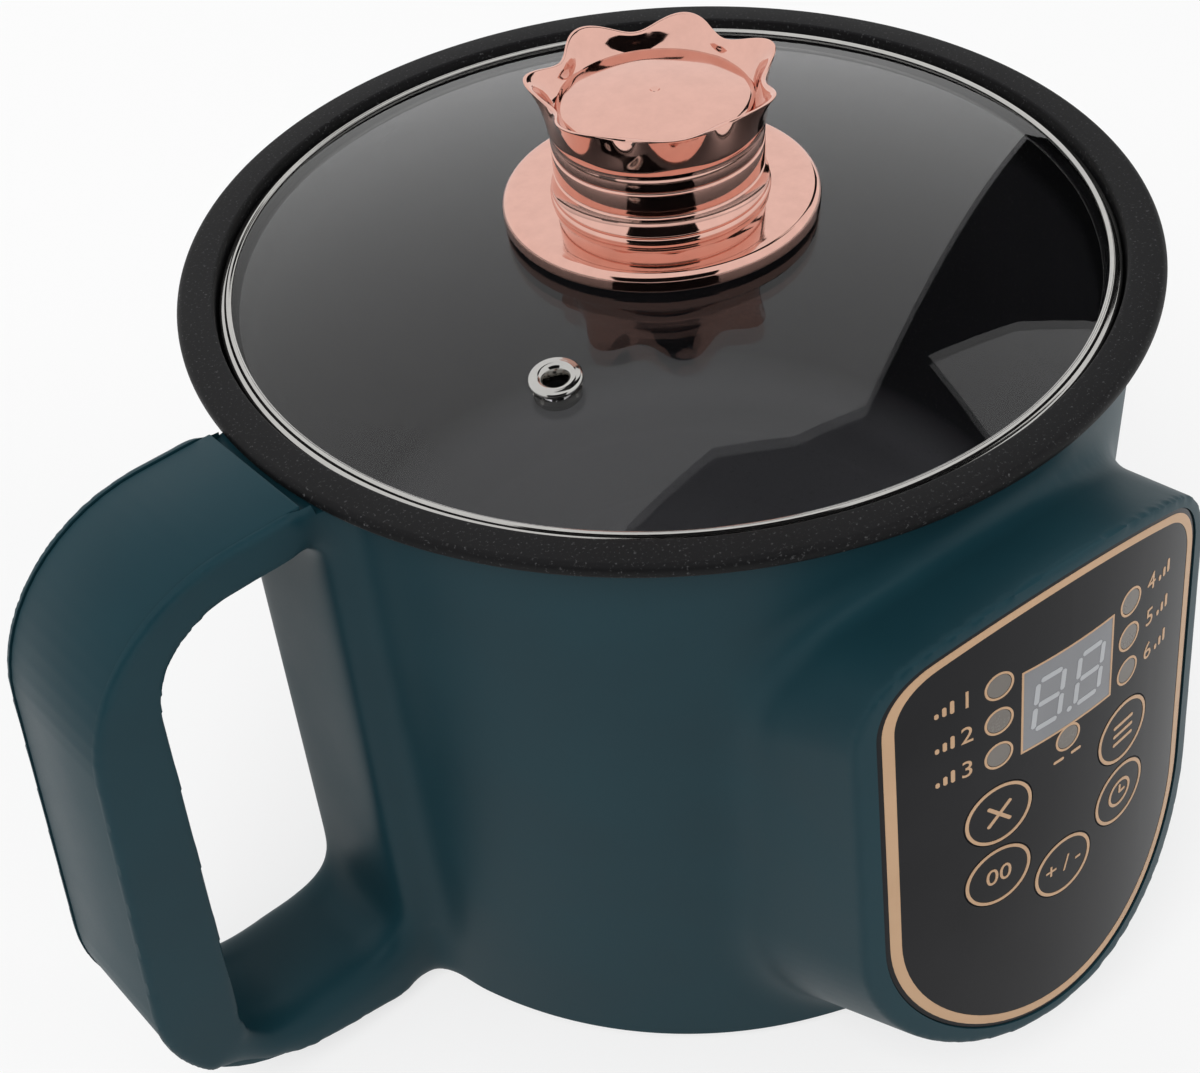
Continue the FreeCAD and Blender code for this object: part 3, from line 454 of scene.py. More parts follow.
def blend_weight(place, cone_skin, reaches, side_edges):
    """How soft the moulding is at a place: most where two solids meet and low in the finger hole."""
    weight = 0.0
    to_cone = cone_skin.find_nearest(place)[3]
    if to_cone < 20 * MM:
        for skin, reach in reaches:
            gap = max(to_cone, skin.find_nearest(place)[3])
            weight = max(weight, smoothstep(1 - gap / reach))
    for first, last in side_edges:
        share = intersect_point_line(place, first, last)[1]
        nearest = first.lerp(last, min(max(share, 0.0), 1.0))
        weight = max(weight, smoothstep(1 - (place - nearest).length / (12 * MM)))
    return weight


def housing_piece():
    """Body, handle and pod in one moulding, with soft blends where they meet."""
    body = body_cone(0, foot_height - 4 * MM, rim_z + 5 * MM, "housing_shell")
    handle = handle_solid()
    pod = pod_solid()
    plate = plate_solid()
    reaches = ((skin_tree(handle), 13 * MM), (skin_tree(pod), 8 * MM), (skin_tree(plate), 2.5 * MM))
    cone_skin = skin_tree(body)
    hole_low = rim_z - hole_low_drop
    side_edges = [(in_handle(98 * MM, side, hole_low), in_handle(140 * MM, side, hole_low))
                  for side in (-handle_width / 2, handle_width / 2)]
    for solid in (handle, pod, plate):
        cut(body, solid, "UNION")
    sharp = duplicate(body, "sharp")
    modify(body, "REMESH", mode="VOXEL", voxel_size=0.9 * MM, adaptivity=0.0)
    blend = body.vertex_groups.new(name="blend")
    firm = body.vertex_groups.new(name="firm")
    for vertex in body.data.vertices:
        weight = blend_weight(vertex.co, cone_skin, reaches, side_edges)
        blend.add([vertex.index], weight, "REPLACE")
        firm.add([vertex.index], 1 - smoothstep(3 * weight), "REPLACE")
    modify(body, "SMOOTH", factor=0.5, iterations=220, vertex_group="blend")
    modify(body, "SHRINKWRAP", target=sharp, wrap_method="NEAREST_SURFACEPOINT", vertex_group="firm")
    modify(body, "SMOOTH", factor=0.5, iterations=4)
    bpy.data.objects.remove(sharp)
    modify(body, "DECIMATE", ratio=min(1.0, 150000 / (2 * len(body.data.polygons))))
    cut(body, housing_hollow())
    return clean(body, 40)


def housing_hollow():
    """All that is cut out of the moulding: inside, top, bottom, film pocket, cover groove and inlet."""
    tool = body_cone(body_wall, foot_height - 6 * MM, shell_top + 3 * MM, "hollow")
    tidy_selection()
    bpy.ops.mesh.primitive_cylinder_add(
        vertices=384, radius=rim_radius + 0.6 * MM, depth=12 * MM, location=(0, 0, shell_top + 6 * MM))
    cut(tool, named("top_cut"), "UNION")
    tidy_selection()
    bpy.ops.mesh.primitive_cube_add(size=0.5, location=(0, 0, foot_height - 0.25))
    cut(tool, named("low_cut"), "UNION")
    pocket = panel_prism(0.2 * MM)
    cut(pocket, drum(film_back))
    window = panel_prism(-film_lip)
    cut(window, body_cone(0.2 * MM, 0, rim_z))
    cut(pocket, window, "UNION")
    cut(tool, pocket, "UNION")
    width = handle_width - 3.2 * MM
    cut(tool, grip_band("groove", 4 * MM, grip_depth, width, rim_radius - 3 * MM, grip_low_reach), "UNION")
    tidy_selection()
    bpy.ops.mesh.primitive_cube_add(
        size=1.0, location=(0, 0.09, 17.6 * MM), scale=(28 * MM, 40 * MM, 20 * MM))
    cut(tool, named("inlet_cut"), "UNION")
    return tool


def grip_band(name, outside, inside, width, top_start, low_start):
    """Strip along the outside of the handle, from beyond its skin to a depth, clear of both roots."""
    middle = rim_z - 70 * MM

    def kept(place):
        return place[0] > (top_start if place[1] > middle else low_start)

    border = refined(handle_outline())
    band = [(p, n) for p, n in border if kept(p)]
    outer = moved_out(band, outside)
    inner = moved_out(band, -inside)
    corners = outer + inner[::-1]
    piece = prism(name, [(x, -width / 2, z) for x, z in corners], (0, width, 0))
    return in_plane(piece)


def refined(outline):
    """Outline with its long straight runs split, so that it can be trimmed near a place."""
    out = []
    count = len(outline)
    for index, (place, normal) in enumerate(outline):
        out.append((place, normal))
        onward, its_normal = outline[(index + 1) % count]
        length = math.dist(place, onward)
        parts = int(length / (0.7 * MM))
        for step in range(1, parts):
            share = step / parts
            middle = tuple(a + (b - a) * share for a, b in zip(place, onward))
            blend = Vector(normal).lerp(Vector(its_normal), share).normalized()
            out.append((middle, (blend.x, blend.y)))
    return out


def grip_piece():
    """Cover strip of the handle, a little under the lips on both sides."""
    width = handle_width - 3.6 * MM
    low_start = grip_low_reach + 0.2 * MM
    piece = grip_band("grip_strip", -0.3 * MM, grip_depth, width, rim_radius + 0.8 * MM, low_start)
    modify(piece, "BEVEL", width=0.35 * MM, segments=2, limit_method="ANGLE", angle_limit=math.radians(50))
    return clean(piece, 40)


# The inner pot, the lid and the knob
def pot_piece():
    """Drawn pot with a rolled rim and a stepped floor."""
    seat_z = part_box("lid_band")[0].z
    seat = lid_radius + 0.3 * MM
    wall = 1.0 * MM
    outer_round = 1.4 * MM
    under_round = 0.7 * MM
    inner_round = 0.6 * MM
    rim_low = rim_z - rim_thickness
    profile = [(0, pot_floor_z - 2 * MM)]
    profile += arc_points((pot_floor_radius + wall - 15 * MM, pot_floor_z + 13 * MM), 15 * MM, -90, -2, 14)
    profile += [(pot_mouth_radius + wall, seat_z - wall), (seat + wall, seat_z - wall)]
    profile += [(seat + wall, rim_low)]
    profile += arc_points((rim_radius - under_round, rim_low + under_round), under_round, -90, 0, 5)
    profile += arc_points((rim_radius - outer_round, rim_z - outer_round), outer_round, 0, 90, 8)
    profile += arc_points((seat + 1.0 * MM, rim_z - inner_round), inner_round, 90, 170, 5)
    profile += [(seat, seat_z + 0.3 * MM), (seat - 0.3 * MM, seat_z), (pot_mouth_radius + 0.6 * MM, seat_z)]
    profile += [(pot_mouth_radius, seat_z - 0.6 * MM)]
    corner = arc_points((pot_floor_radius - 14 * MM, pot_floor_z + 14 * MM), 14 * MM, -2, -90, 14)
    profile += corner
    for reach, drop in ((62.0, 0.0), (61.0, 0.25), (60.0, 0.5), (38.0, 0.5), (37.0, 0.25), (36.0, 0.0)):
        profile.append((reach * MM, pot_floor_z - drop * MM))
    profile.append((0, pot_floor_z))
    return turned("pot_inner", profile, round_steps)


def glass_piece():
    """Domed glass with holes for the knob's screw and the vent."""
    edge_round = 0.8 * MM
    steps = 24
    spread = glass_radius - edge_round - screw_bore
    radii = [screw_bore + spread * step / steps for step in range(steps + 1)]
    top = [(r, dome_z(r, glass_top)) for r in radii]
    edge_z = dome_z(glass_radius, glass_top)
    edge = [(glass_radius, edge_z - edge_round), (glass_radius, edge_z - glass_thickness + edge_round)]
    under = [(r, dome_z(r, glass_top) - glass_thickness) for r in radii[::-1]]
    piece = turned("lid_pane", top + edge + under, round_steps, 30)
    tidy_selection()
    x = vent_reach * math.cos(vent_azimuth)
    y = vent_reach * math.sin(vent_azimuth)
    bpy.ops.mesh.primitive_cylinder_add(vertices=48, radius=vent_bore, depth=40 * MM, location=(x, y, rim_z))
    cut(piece, named("vent_cut"))
    return clean(piece, 30)


def band_piece():
    """Thin steel band rolled round the glass's edge."""
    thick = 0.45 * MM
    lip = lid_radius - 2.6 * MM
    top = glass_top + thick
    low = top - glass_thickness - 2 * thick
    outer_z = dome_z(lid_radius, top)
    profile = [(lip, dome_z(lip, top) - thick), (lip - 0.05 * MM, dome_z(lip, top) - 0.25 * MM)]
    for step in range(9):
        across = step / 8
        swell = 0.55 * MM * math.sin(math.pi * across) - 0.2 * MM
        reach = lip + 0.1 * MM + 1.3 * MM * across
        profile.append((reach, dome_z(reach, top) + swell))
    profile += arc_points((lid_radius - 0.9 * MM, outer_z - 0.9 * MM), 0.9 * MM, 75, 0, 8)
    outer_low = dome_z(lid_radius, low)
    profile += [(lid_radius, outer_low + 0.6 * MM), (lid_radius - 0.5 * MM, outer_low + 0.1 * MM)]
    profile += [(lip, dome_z(lip, low)), (lip, dome_z(lip, low) + thick)]
    profile += [(glass_radius, dome_z(glass_radius, low) + thick), (glass_radius, outer_z - 0.7 * MM)]
    return turned("lid_ring", profile, round_steps, 40)


def eyelet_piece():
    """Rolled steel eyelet, tilted to lie on the dome."""
    thick = 0.6 * MM
    outer = 5.2 * MM
    bore = 2.4 * MM
    half = glass_thickness / 2
    high = half + 1.1 * MM
    profile = [(bore, -high), (bore, high - 0.9 * MM)]
    profile += arc_points((bore + 1.2 * MM, high - 1.1 * MM), 1.1 * MM, 150, 60, 6)
    profile += arc_points((outer - 0.9 * MM, half + 0.25 * MM), 0.85 * MM, 60, -10, 6)
    profile += [(outer - 0.2 * MM, half), (bore + thick, half), (bore + thick, -half), (outer - thick, -half)]
    profile += [(outer - thick, -high)]
    piece = turned("vent_ring", profile, 64, 50)
    tilt = math.asin(vent_reach / dome_radius)
    seat = dome_z(vent_reach, glass_top) - half
    place = Matrix.Rotation(vent_azimuth, 4, "Z") @ Matrix.Translation((vent_reach, 0, seat))
    piece.data.transform(place @ Matrix.Rotation(tilt, 4, "Y"))
    return piece


knob_low = rim_z + 12.3 * MM
neck_radius = 21.0 * MM
crown_start = 14.5 * MM
crown_height = 9.8 * MM
petals = 7


def knob_foot():
    """Round flange of the knob."""
    radius = 31.8 * MM
    top = knob_low
    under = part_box("knob_base")[0].z
    profile = [(screw_bore, top - 1.7 * MM), (screw_bore, top)]
    profile += [(21.5 * MM, top), (28.4 * MM, top - 0.25 * MM)]
    profile += arc_points((radius - 1.8 * MM, top - 2.1 * MM), 1.8 * MM, 80, 0, 8)
    profile += [(radius, under + 0.7 * MM)]
    profile += arc_points((radius - 0.5 * MM, under + 0.5 * MM), 0.5 * MM, 0, -90, 3)
    profile += [(radius - 1.6 * MM, under), (radius - 1.7 * MM, top - 1.8 * MM)]
    return turned("knob_flange", profile, 192, 40)


def crown_flare(share):
    """How far the crown's wall leans out at a share of its height."""
    return (0.4 + 1.8 * share ** 1.5) * MM


def knob_profile():
    """Outline of the neck's rings and of the crown's wall, before the petals are drawn out."""
    ring_r = neck_radius
    z = knob_low
    flare_start = z + crown_start
    points = [(17.6 * MM, z + 8 * MM), (17.6 * MM, z)]
    points += [(ring_r + 0.9 * MM, z), (ring_r + 0.9 * MM, z + 0.5 * MM)]
    points += arc_points((ring_r - 0.2 * MM, z + 1.5 * MM), 0.9 * MM, -40, 50, 5)
    for height in (5.0, 10.2):
        points += [(ring_r, z + (height - 0.4) * MM), (ring_r - 0.05 * MM, z + (height + 0.05) * MM)]
        points += arc_points((ring_r + 0.12 * MM, z + (height + 0.5) * MM), 0.5 * MM, 225, 135, 4)
        points += [(ring_r - 0.05 * MM, z + (height + 0.95) * MM), (ring_r, z + (height + 1.4) * MM)]
    points += [(ring_r + 0.05 * MM, z + 13.6 * MM), (ring_r - 0.2 * MM, z + 14.3 * MM)]
    points += [(ring_r + 0.15 * MM, z + 14.9 * MM), (ring_r + 0.45 * MM, z + 15.6 * MM)]
    for share in (0.2, 0.35, 0.5, 0.62, 0.74, 0.84, 0.92, 0.97):
        points.append((ring_r + crown_flare(share), flare_start + crown_height * share))
    points += [(ring_r + 2.1 * MM, z + 24.22 * MM), (ring_r + 1.8 * MM, z + 24.3 * MM)]
    points += [(ring_r + 1.4 * MM, z + 24.1 * MM)]
    walls = ((0.9, 1.1), (0.8, 1.5), (0.7, 1.75), (0.6, 2.05), (0.5, 2.5), (0.44, 3.0), (0.40, 3.6))
    for share, wall in walls:
        points.append((ring_r + crown_flare(share) - wall * MM, flare_start + crown_height * share))
    points += [(17.6 * MM, z + 18.1 * MM), (17.0 * MM, z + 17.6 * MM), (17.0 * MM, z + 8 * MM)]
    return points


def knob_crown():
    """Neck with two rings and a crown of seven petals."""
    piece = turned("knob_grip", knob_profile(), 280, 50)
    start = knob_low + crown_start
    for vertex in piece.data.vertices:
        share = (vertex.co.z - start) / crown_height
        if share <= 0:
            continue
        radius = math.hypot(vertex.co.x, vertex.co.y)
        angle = math.atan2(vertex.co.y, vertex.co.x)
        wave = math.cos(petals * (angle - math.radians(89.0)))
        hold = smoothstep((radius - 17.5 * MM) / (2.5 * MM))
        draw = 2.1 * MM * share ** 2 * wave * hold
        vertex.co.x += draw * math.cos(angle)
        vertex.co.y += draw * math.sin(angle)
        vertex.co.z += (0.9 * wave - 0.9) * MM * share ** 3
    return clean(piece, 60)


def knob_plate():
    """Domed plate in the crown with a small centre mark."""
    top = knob_low + 21.1 * MM
    radius = 18.8 * MM
    low = knob_low + 18.0 * MM
    sphere = 115.0 * MM
    dimple = 1.0 * MM
    steps = 18
    profile = [(0, top - 0.75 * MM), (0.35 * MM, top - 0.7 * MM), (0.75 * MM, top - 0.3 * MM), (dimple, top)]
    for step in range(1, steps + 1):
        reach = dimple + (radius - dimple) * step / steps
        profile.append((reach, top - reach ** 2 / (2 * sphere)))
    profile += [(radius + 0.3 * MM, low + 1.2 * MM), (radius, low), (0, low)]
    return turned("knob_disc", profile, 192, 50)


# Marks on the panel, drawn flat and bent on to it
def bent(piece, depth):
    """Bend a flat piece (across, up, height above the film) on to the panel."""
    for vertex in piece.data.vertices:
        vertex.co = panel_point(vertex.co.x, vertex.co.y, depth - vertex.co.z)
    return piece


def strip(name, outer, inner):
    """Flat closed strip between two outlines."""
    rings = [[(u, v, 0.0) for u, v in outer], [(u, v, 0.0) for u, v in inner]]
    piece = loft(name, rings, "NOTHING")
    modify(piece, "SOLIDIFY", thickness=print_thick, offset=0.0)
    return piece


def circle(u, v, radius, steps=40):
    """Points of a circle on the panel."""
    return arc_points((u, v), radius, 0, 360, steps)[:-1]


def bar(name, u, v, width, height, lean=0.0):
    """Small flat bar with clipped corners."""
    clip = 0.3 * min(width, height)
    x = width / 2
    y = height / 2
    corners = [(-x + clip, -y), (x - clip, -y), (x, -y + clip), (x, y - clip), (x - clip, y), (-x + clip, y),
               (-x, y - clip), (-x, -y + clip)]
    place = Matrix.Translation((u, v, -print_thick / 2)) @ Matrix.Rotation(lean, 4, "Z")
    return prism(name, [place @ Vector((*corner, 0.0)) for corner in corners], (0, 0, print_thick))


def figure(name, text, u, v, size):
    """A digit or sign as a flat mesh centred on a place."""
    tidy_selection()
    bpy.ops.object.text_add(location=(0, 0, 0))
    piece = bpy.context.object
    piece.data.body = text
    piece.data.size = size
    piece.data.extrude = print_thick / 2
    piece.data.resolution_u = 4
    piece.data.align_x = "CENTER"
    piece.data.align_y = "CENTER"
    bpy.ops.object.convert(target="MESH")
    piece = bpy.context.object
    piece.name = name
    piece.data.name = name
    for vertex in piece.data.vertices:
        vertex.co = vertex.co + Vector((u, v, 0))
    return piece


def joined(name, pieces):
    """Several pieces as one."""
    tidy_selection()
    for piece in pieces:
        piece.select_set(True)
    bpy.context.view_layer.objects.active = pieces[0]
    bpy.ops.object.join()
    piece = bpy.context.object
    piece.name = name
    piece.data.name = name
    return piece


light_places = [(side * 16.3 * MM, -row * 8.4 * MM) for side in (-1, 1) for row in range(3)]
light_places.append((0.0, -22.2 * MM))
key_places = {
    "key_select": (16.1 * MM, -31.9 * MM),
    "key_delay": (16.1 * MM, -48.5 * MM),
    "key_cancel": (-16.1 * MM, -31.9 * MM),
    "key_timer": (-16.1 * MM, -48.5 * MM),
    "key_heat": (0.0, -56.6 * MM),
}


def panel_print():
    """Border, rings round the lights, frame of the display, and plain digits and signs."""
    marks = [strip("border", panel_outline(-0.9 * MM), panel_outline(-3.1 * MM, 0.0, -0.5 * MM))]
    for index, (u, v) in enumerate(light_places):
        marks.append(strip("light_ring", circle(u, v, 3.1 * MM), circle(u, v, 2.62 * MM)))
        if index < 6:
            side = -1 if index < 3 else 1
            marks.append(figure("digit", str(index + 1), u + side * 6.6 * MM, v, 5.6 * MM))
            for level in range(3):
                tall = (1.2 + 0.9 * level) * MM
                place = u + side * 11.0 * MM + (level - 1) * 1.5 * MM
                marks.append(bar("level", place, v - 1.6 * MM + tall / 2, 0.8 * MM, tall))
    u, v = 0.0, -26.9 * MM
    marks.append(bar("dash", u - 2.2 * MM, v, 2.6 * MM, 0.7 * MM))
    marks.append(bar("dash", u + 2.2 * MM, v, 2.6 * MM, 0.7 * MM))
    marks.append(strip("frame", split(display_corners(0.45 * MM), 8), split(display_corners(0), 8)))
    piece = joined("panel_print", marks)
    edit(piece)
    bpy.ops.mesh.normals_make_consistent(inside=False)
    leave_edit()
    bent(piece, film_recess)
    return clean(piece, 30)


def display_corners(grow):
    """Corners of the display's window, grown by a margin."""
    half = 11.0 * MM + grow
    low = -19.0 * MM - grow
    top = -0.1 * MM + grow
    return [(-half, low), (half, low), (half, top), (-half, top)]


def split(corners, parts):
    """Outline with each side split in equal parts."""
    out = []
    for (ax, ay), (bx, by) in zip(corners, corners[1:] + corners[:1]):
        for step in range(parts):
            share = step / parts
            out.append((ax + (bx - ax) * share, ay + (by - ay) * share))
    return out


def key_print(key):
    """Ring and sign on one key."""
    u, v = key_places[key]
    marks = [strip("ring", circle(u, v, 7.35 * MM, 64), circle(u, v, 6.65 * MM, 64))]
    if key == "key_select":
        for row in (-1, 0, 1):
            marks.append(bar("line", u, v + row * 2.2 * MM, 6.0 * MM, 0.75 * MM))
    elif key == "key_delay":
        marks.append(strip("dial", circle(u, v, 3.4 * MM), circle(u, v, 2.75 * MM)))
        marks.append(bar("hand", u, v + 0.9 * MM, 0.6 * MM, 2.2 * MM))
        marks.append(bar("hand", u + 0.8 * MM, v, 1.9 * MM, 0.6 * MM))
    elif key == "key_cancel":
        for lean in (45, -45):
            marks.append(bar("stroke", u, v, 7.2 * MM, 0.8 * MM, math.radians(lean)))
    elif key == "key_timer":
        marks.append(figure("sign", "00", u, v, 6.0 * MM))
    else:
        marks.append(figure("sign", "+ / -", u, v, 5.6 * MM))
    piece = joined(key + "_print", marks)
    bent(piece, key_over_film + print_over_film)
    return clean(piece, 30)


def display_digits():
    """Two seven-bar figures with a point between them."""
    marks = []
    tall = 5.6 * MM
    wide = 5.0 * MM
    thick = 1.15 * MM
    slant = 0.10
    middle = -9.55 * MM
    for centre in (-5.1 * MM, 5.1 * MM):
        for row in (-1, 0, 1):
            v = middle + row * tall
            marks.append(bar("bar", centre + slant * row * tall, v, wide, thick))
        for side in (-1, 1):
            for row in (-0.5, 0.5):
                v = middle + row * tall
                u = centre + side * 3.1 * MM + slant * row * tall
                marks.append(bar("bar", u, v, thick, tall - 0.9 * MM, -slant))
    marks.append(bar("point", 0.0, -15.1 * MM, 1.2 * MM, 1.2 * MM))
    piece = joined("display_figures", marks)
    bent(piece, film_recess - print_over_film)
    return clean(piece, 30)


# Shader maths
class Value:
    """A shader socket that can be added to and multiplied."""

    def __init__(self, finish, socket):
        self.finish = finish
        self.socket = socket

    def maths(self, operation, a, b):
        return self.finish.node("ShaderNodeMath", {"operation": operation}, {0: a, 1: b})

    def __add__(self, other):
        return self.maths("ADD", self, other)

    __radd__ = __add__

    def __mul__(self, other):
        return self.maths("MULTIPLY", self, other)

    __rmul__ = __mul__


class Nodes:
    """Node tree that starts empty and is built one node at a time."""

    def __init__(self, tree):
        self.tree = tree
        tree.nodes.clear()

    def node(self, kind, settings, inputs, output=0):
        """Add a node, set it, feed its sockets and give one of its outputs."""
        node = self.tree.nodes.new(kind)
        for key, value in settings.items():
            setattr(node, key, value)
        for key, value in inputs.items():
            if isinstance(value, Value):
                self.tree.links.new(value.socket, node.inputs[key])
            else:
                node.inputs[key].default_value = value
        return Value(self, node.outputs[output] if node.outputs else None)

    def span(self, value, low, high, first=0.0, last=1.0):
        """Value carried from one range to another and held inside it."""
        return self.node("ShaderNodeMapRange", {}, {0: value, 1: low, 2: high, 3: first, 4: last})

    def tint(self, share, first, last):
        """Colour between two colours."""
        inputs = {0: share, 6: first, 7: last}
        return self.node("ShaderNodeMix", {"data_type": "RGBA"}, inputs, 2)

    def ray(self, kind):
        return self.node("ShaderNodeLightPath", {}, {}, kind)

    def mixed(self, share, first, last):
        """One shader up to another by a share."""
        return self.node("ShaderNodeMixShader", {}, {0: share, 1: first, 2: last})


class Finish(Nodes):
    """One material built from nodes."""

    def __init__(self, name):
        self.material = bpy.data.materials.new(name)
        self.material.use_nodes = True
        super().__init__(self.material.node_tree)
        self.place = self.node("ShaderNodeTexCoord", {}, {}, "Object")

    def noise(self, scale, detail=2.0, roughness=0.5):
        inputs = {"Vector": self.place, "Scale": scale, "Detail": detail, "Roughness": roughness}
        return self.node("ShaderNodeTexNoise", {}, inputs)

    def bump(self, height, distance, strength=1.0):
        inputs = {"Height": height, "Distance": distance, "Strength": strength}
        return self.node("ShaderNodeBump", {}, inputs)

    def solid(self, **inputs):
        """Plain surface shader with its sockets named in words."""
        worded = {key.replace("_", " "): value for key, value in inputs.items()}
        return self.show(self.node("ShaderNodeBsdfPrincipled", {}, worded))

    def show(self, shader):
        """Put a shader on the material's surface."""
        self.node("ShaderNodeOutputMaterial", {}, {"Surface": shader})
        return self.material


def colour(red, green, blue):
    """Linear colour from 0-255 screen values."""
    out = []
    for value in (red, green, blue):
        share = value / 255
        out.append(share / 12.92 if share <= 0.04045 else ((share + 0.055) / 1.055) ** 2.4)
    return (*out, 1.0)


def moulded(name, base, worn, rough, grain=2600.0, depth=0.02 * MM, coat=0.0, metal=0.0, shine=0.5):
    """Moulded or plain surface: faint cloudiness in colour and roughness, and a fine grain."""
    finish = Finish(name)
    cloud = finish.noise(38.0, 3.0)
    fine = finish.noise(grain, 2.0, 0.6)
    shade = finish.tint(finish.span(cloud, 0.3, 0.7), base, worn)
    roughness = finish.span(cloud + fine * 0.35, 0.4, 0.9, rough - 0.04, rough + 0.05)
    return finish.solid(Base_Color=shade, Roughness=roughness, Normal=finish.bump(fine, depth, 0.35),
                        Coat_Weight=coat, Coat_Roughness=0.08, Metallic=metal, Specular_IOR_Level=shine)


def nonstick():
    """Sprayed non-stick coat: dark grey with fine pale specks, painted a lighter grey on the shaded inside
    wall, with a painted highlight round the floor's corner.
    """
    finish = Finish("nonstick_coat")
    cloud = finish.noise(60.0, 3.0)
    speck = finish.span(finish.noise(1500.0, 3.0, 0.7), 0.60, 0.72)
    height = finish.node("ShaderNodeSeparateXYZ", {}, {"Vector": finish.place}, "Z")
    rim_shade = finish.tint(finish.span(cloud, 0.3, 0.7), colour(15, 15, 16), colour(20, 20, 21))
    # Painted light: below the rim the coat is painted a lighter grey than at the rim, where the pot's inside
    # is in shade
    inside = finish.span(height, rim_z - 16 * MM, rim_z - 12 * MM, 1.0, 0.0)
    # Painted highlight: a still lighter band round the corner of the floor
    corner = finish.span(height, pot_floor_z + 1 * MM, pot_floor_z + 9 * MM, 1.0, 0.0)
    wall_painted_light = finish.tint(corner, colour(50, 50, 52), colour(105, 105, 108))
    base = finish.tint(inside, rim_shade, wall_painted_light)
    shade = finish.tint(speck, base, colour(78, 78, 79))
    roughness = finish.span(cloud, 0.2, 0.8, 0.46, 0.56)
    grain = finish.bump(finish.noise(900.0, 3.0, 0.6), 0.03 * MM, 0.3)
    return finish.solid(Base_Color=shade, Roughness=roughness, Normal=grain, Specular_IOR_Level=0.12)


def polished(name, base, low, high, streak=260.0):
    """Plated or polished metal with faint clouding."""
    finish = Finish(name)
    cloud = finish.noise(streak, 3.0, 0.6)
    shade = finish.tint(finish.span(cloud, 0.3, 0.7), base, tuple(c * 0.93 for c in base[:3]) + (1.0,))
    return finish.solid(Base_Color=shade, Metallic=1.0, Roughness=finish.span(cloud, 0.3, 0.7, low, high))


def smoked_glass():
    """Grey glass that mirrors at a slant and lets lamps through."""
    finish = Finish("smoked_glass")
    smear = finish.noise(55.0, 4.0, 0.6)
    glass = finish.node("ShaderNodeBsdfPrincipled", {}, {
        "Base Color": (0.70, 0.70, 0.71, 1.0), "Transmission Weight": 1.0, "IOR": 1.37,
        "Roughness": finish.span(smear, 0.35, 0.75, 0.0, 0.02)})
    clear = finish.node("ShaderNodeBsdfTransparent", {}, {"Color": (0.60, 0.60, 0.61, 1.0)})
    return finish.show(finish.mixed(finish.ray("Is Shadow Ray"), glass, clear))


teal = moulded("teal_plastic", colour(20, 49, 57), colour(23, 53, 61), 0.42, shine=0.16)
finishes = {
    "shell_plastic": teal,
    "nonstick_coat": nonstick(),
    "seal_rubber": moulded("seal_rubber", colour(30, 30, 31), colour(40, 40, 41), 0.75),
    "lid_glass": smoked_glass(),
    "steel": polished("polished_steel", (0.52, 0.51, 0.49, 1.0), 0.06, 0.12),
    "rose_plating": polished("rose_plating", (0.76, 0.45, 0.375, 1.0), 0.05, 0.09),
    "brass": polished("brass", (0.75, 0.55, 0.25, 1.0), 0.22, 0.3),
    "panel_gloss": moulded("panel_gloss", colour(22, 22, 24), colour(28, 28, 30), 0.2, shine=0.12),
    "black_plastic": moulded("black_plastic", colour(28, 28, 29), colour(36, 36, 37), 0.55),
    "display_lens": moulded("display_lens", colour(116, 117, 120), colour(126, 127, 130), 0.16, shine=0.25),
    "display_body": moulded("display_body", colour(60, 60, 62), colour(70, 70, 72), 0.5),
    "light_lens": moulded("light_lens", colour(102, 97, 92), colour(112, 107, 102), 0.25, shine=0.25),
    "led_white": moulded("led_white", colour(220, 220, 215), colour(232, 232, 228), 0.35),
    "board_green": moulded("board_green", colour(20, 82, 48), colour(26, 94, 56), 0.45),
    "foot_rubber": moulded("foot_rubber", colour(26, 26, 27), colour(35, 35, 36), 0.8),
    "cast_aluminium": moulded("cast_aluminium", colour(170, 172, 174), colour(186, 188, 190), 0.4, metal=1.0),
    "relay_body": moulded("relay_body", colour(24, 62, 120), colour(30, 70, 130), 0.5),
}
print_tan = moulded("tan_print", colour(178, 144, 112), colour(188, 154, 122), 0.4, shine=0.3)
figure_white = moulded("figure_white", colour(158, 160, 163), colour(168, 170, 173), 0.3)


def dress(piece, material, body, slot, *nodes):
    """Give a piece its finish and its body, and hide the nodes it stands for."""
    piece.data.materials.clear()
    piece.data.materials.append(material)
    for face in piece.data.polygons:
        face.material_index = 0
    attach(piece, body)
    if nodes:
        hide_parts(*nodes)
    return piece


for name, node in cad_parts.items():
    for place in node.material_slots:
        slot = place.material.name
        place.material = finishes.get(slot, finishes["black_plastic"])

dress(housing_piece(), teal, "pot_unit", "shell_plastic", "housing")
dress(grip_piece(), teal, "pot_unit", "shell_plastic", "grip_cover")
dress(pot_piece(), finishes["nonstick_coat"], "pot_unit", "nonstick_coat", "inner_pot")
dress(glass_piece(), finishes["lid_glass"], "lid", "lid_glass", "lid_glass")
dress(band_piece(), finishes["steel"], "lid", "steel", "lid_band")
dress(eyelet_piece(), finishes["steel"], "lid", "steel", "vent_eyelet")
dress(knob_foot(), finishes["rose_plating"], "lid", "rose_plating", "knob_base")
dress(knob_crown(), finishes["rose_plating"], "lid", "rose_plating", "knob_body")
dress(knob_plate(), finishes["rose_plating"], "lid", "rose_plating", "knob_cap")
dress(panel_print(), print_tan, "pot_unit", "panel_gloss")
dress(display_digits(), figure_white, "pot_unit", "display_lens")
for key in key_places:
    dress(key_print(key), print_tan, key + "_body", "panel_gloss")


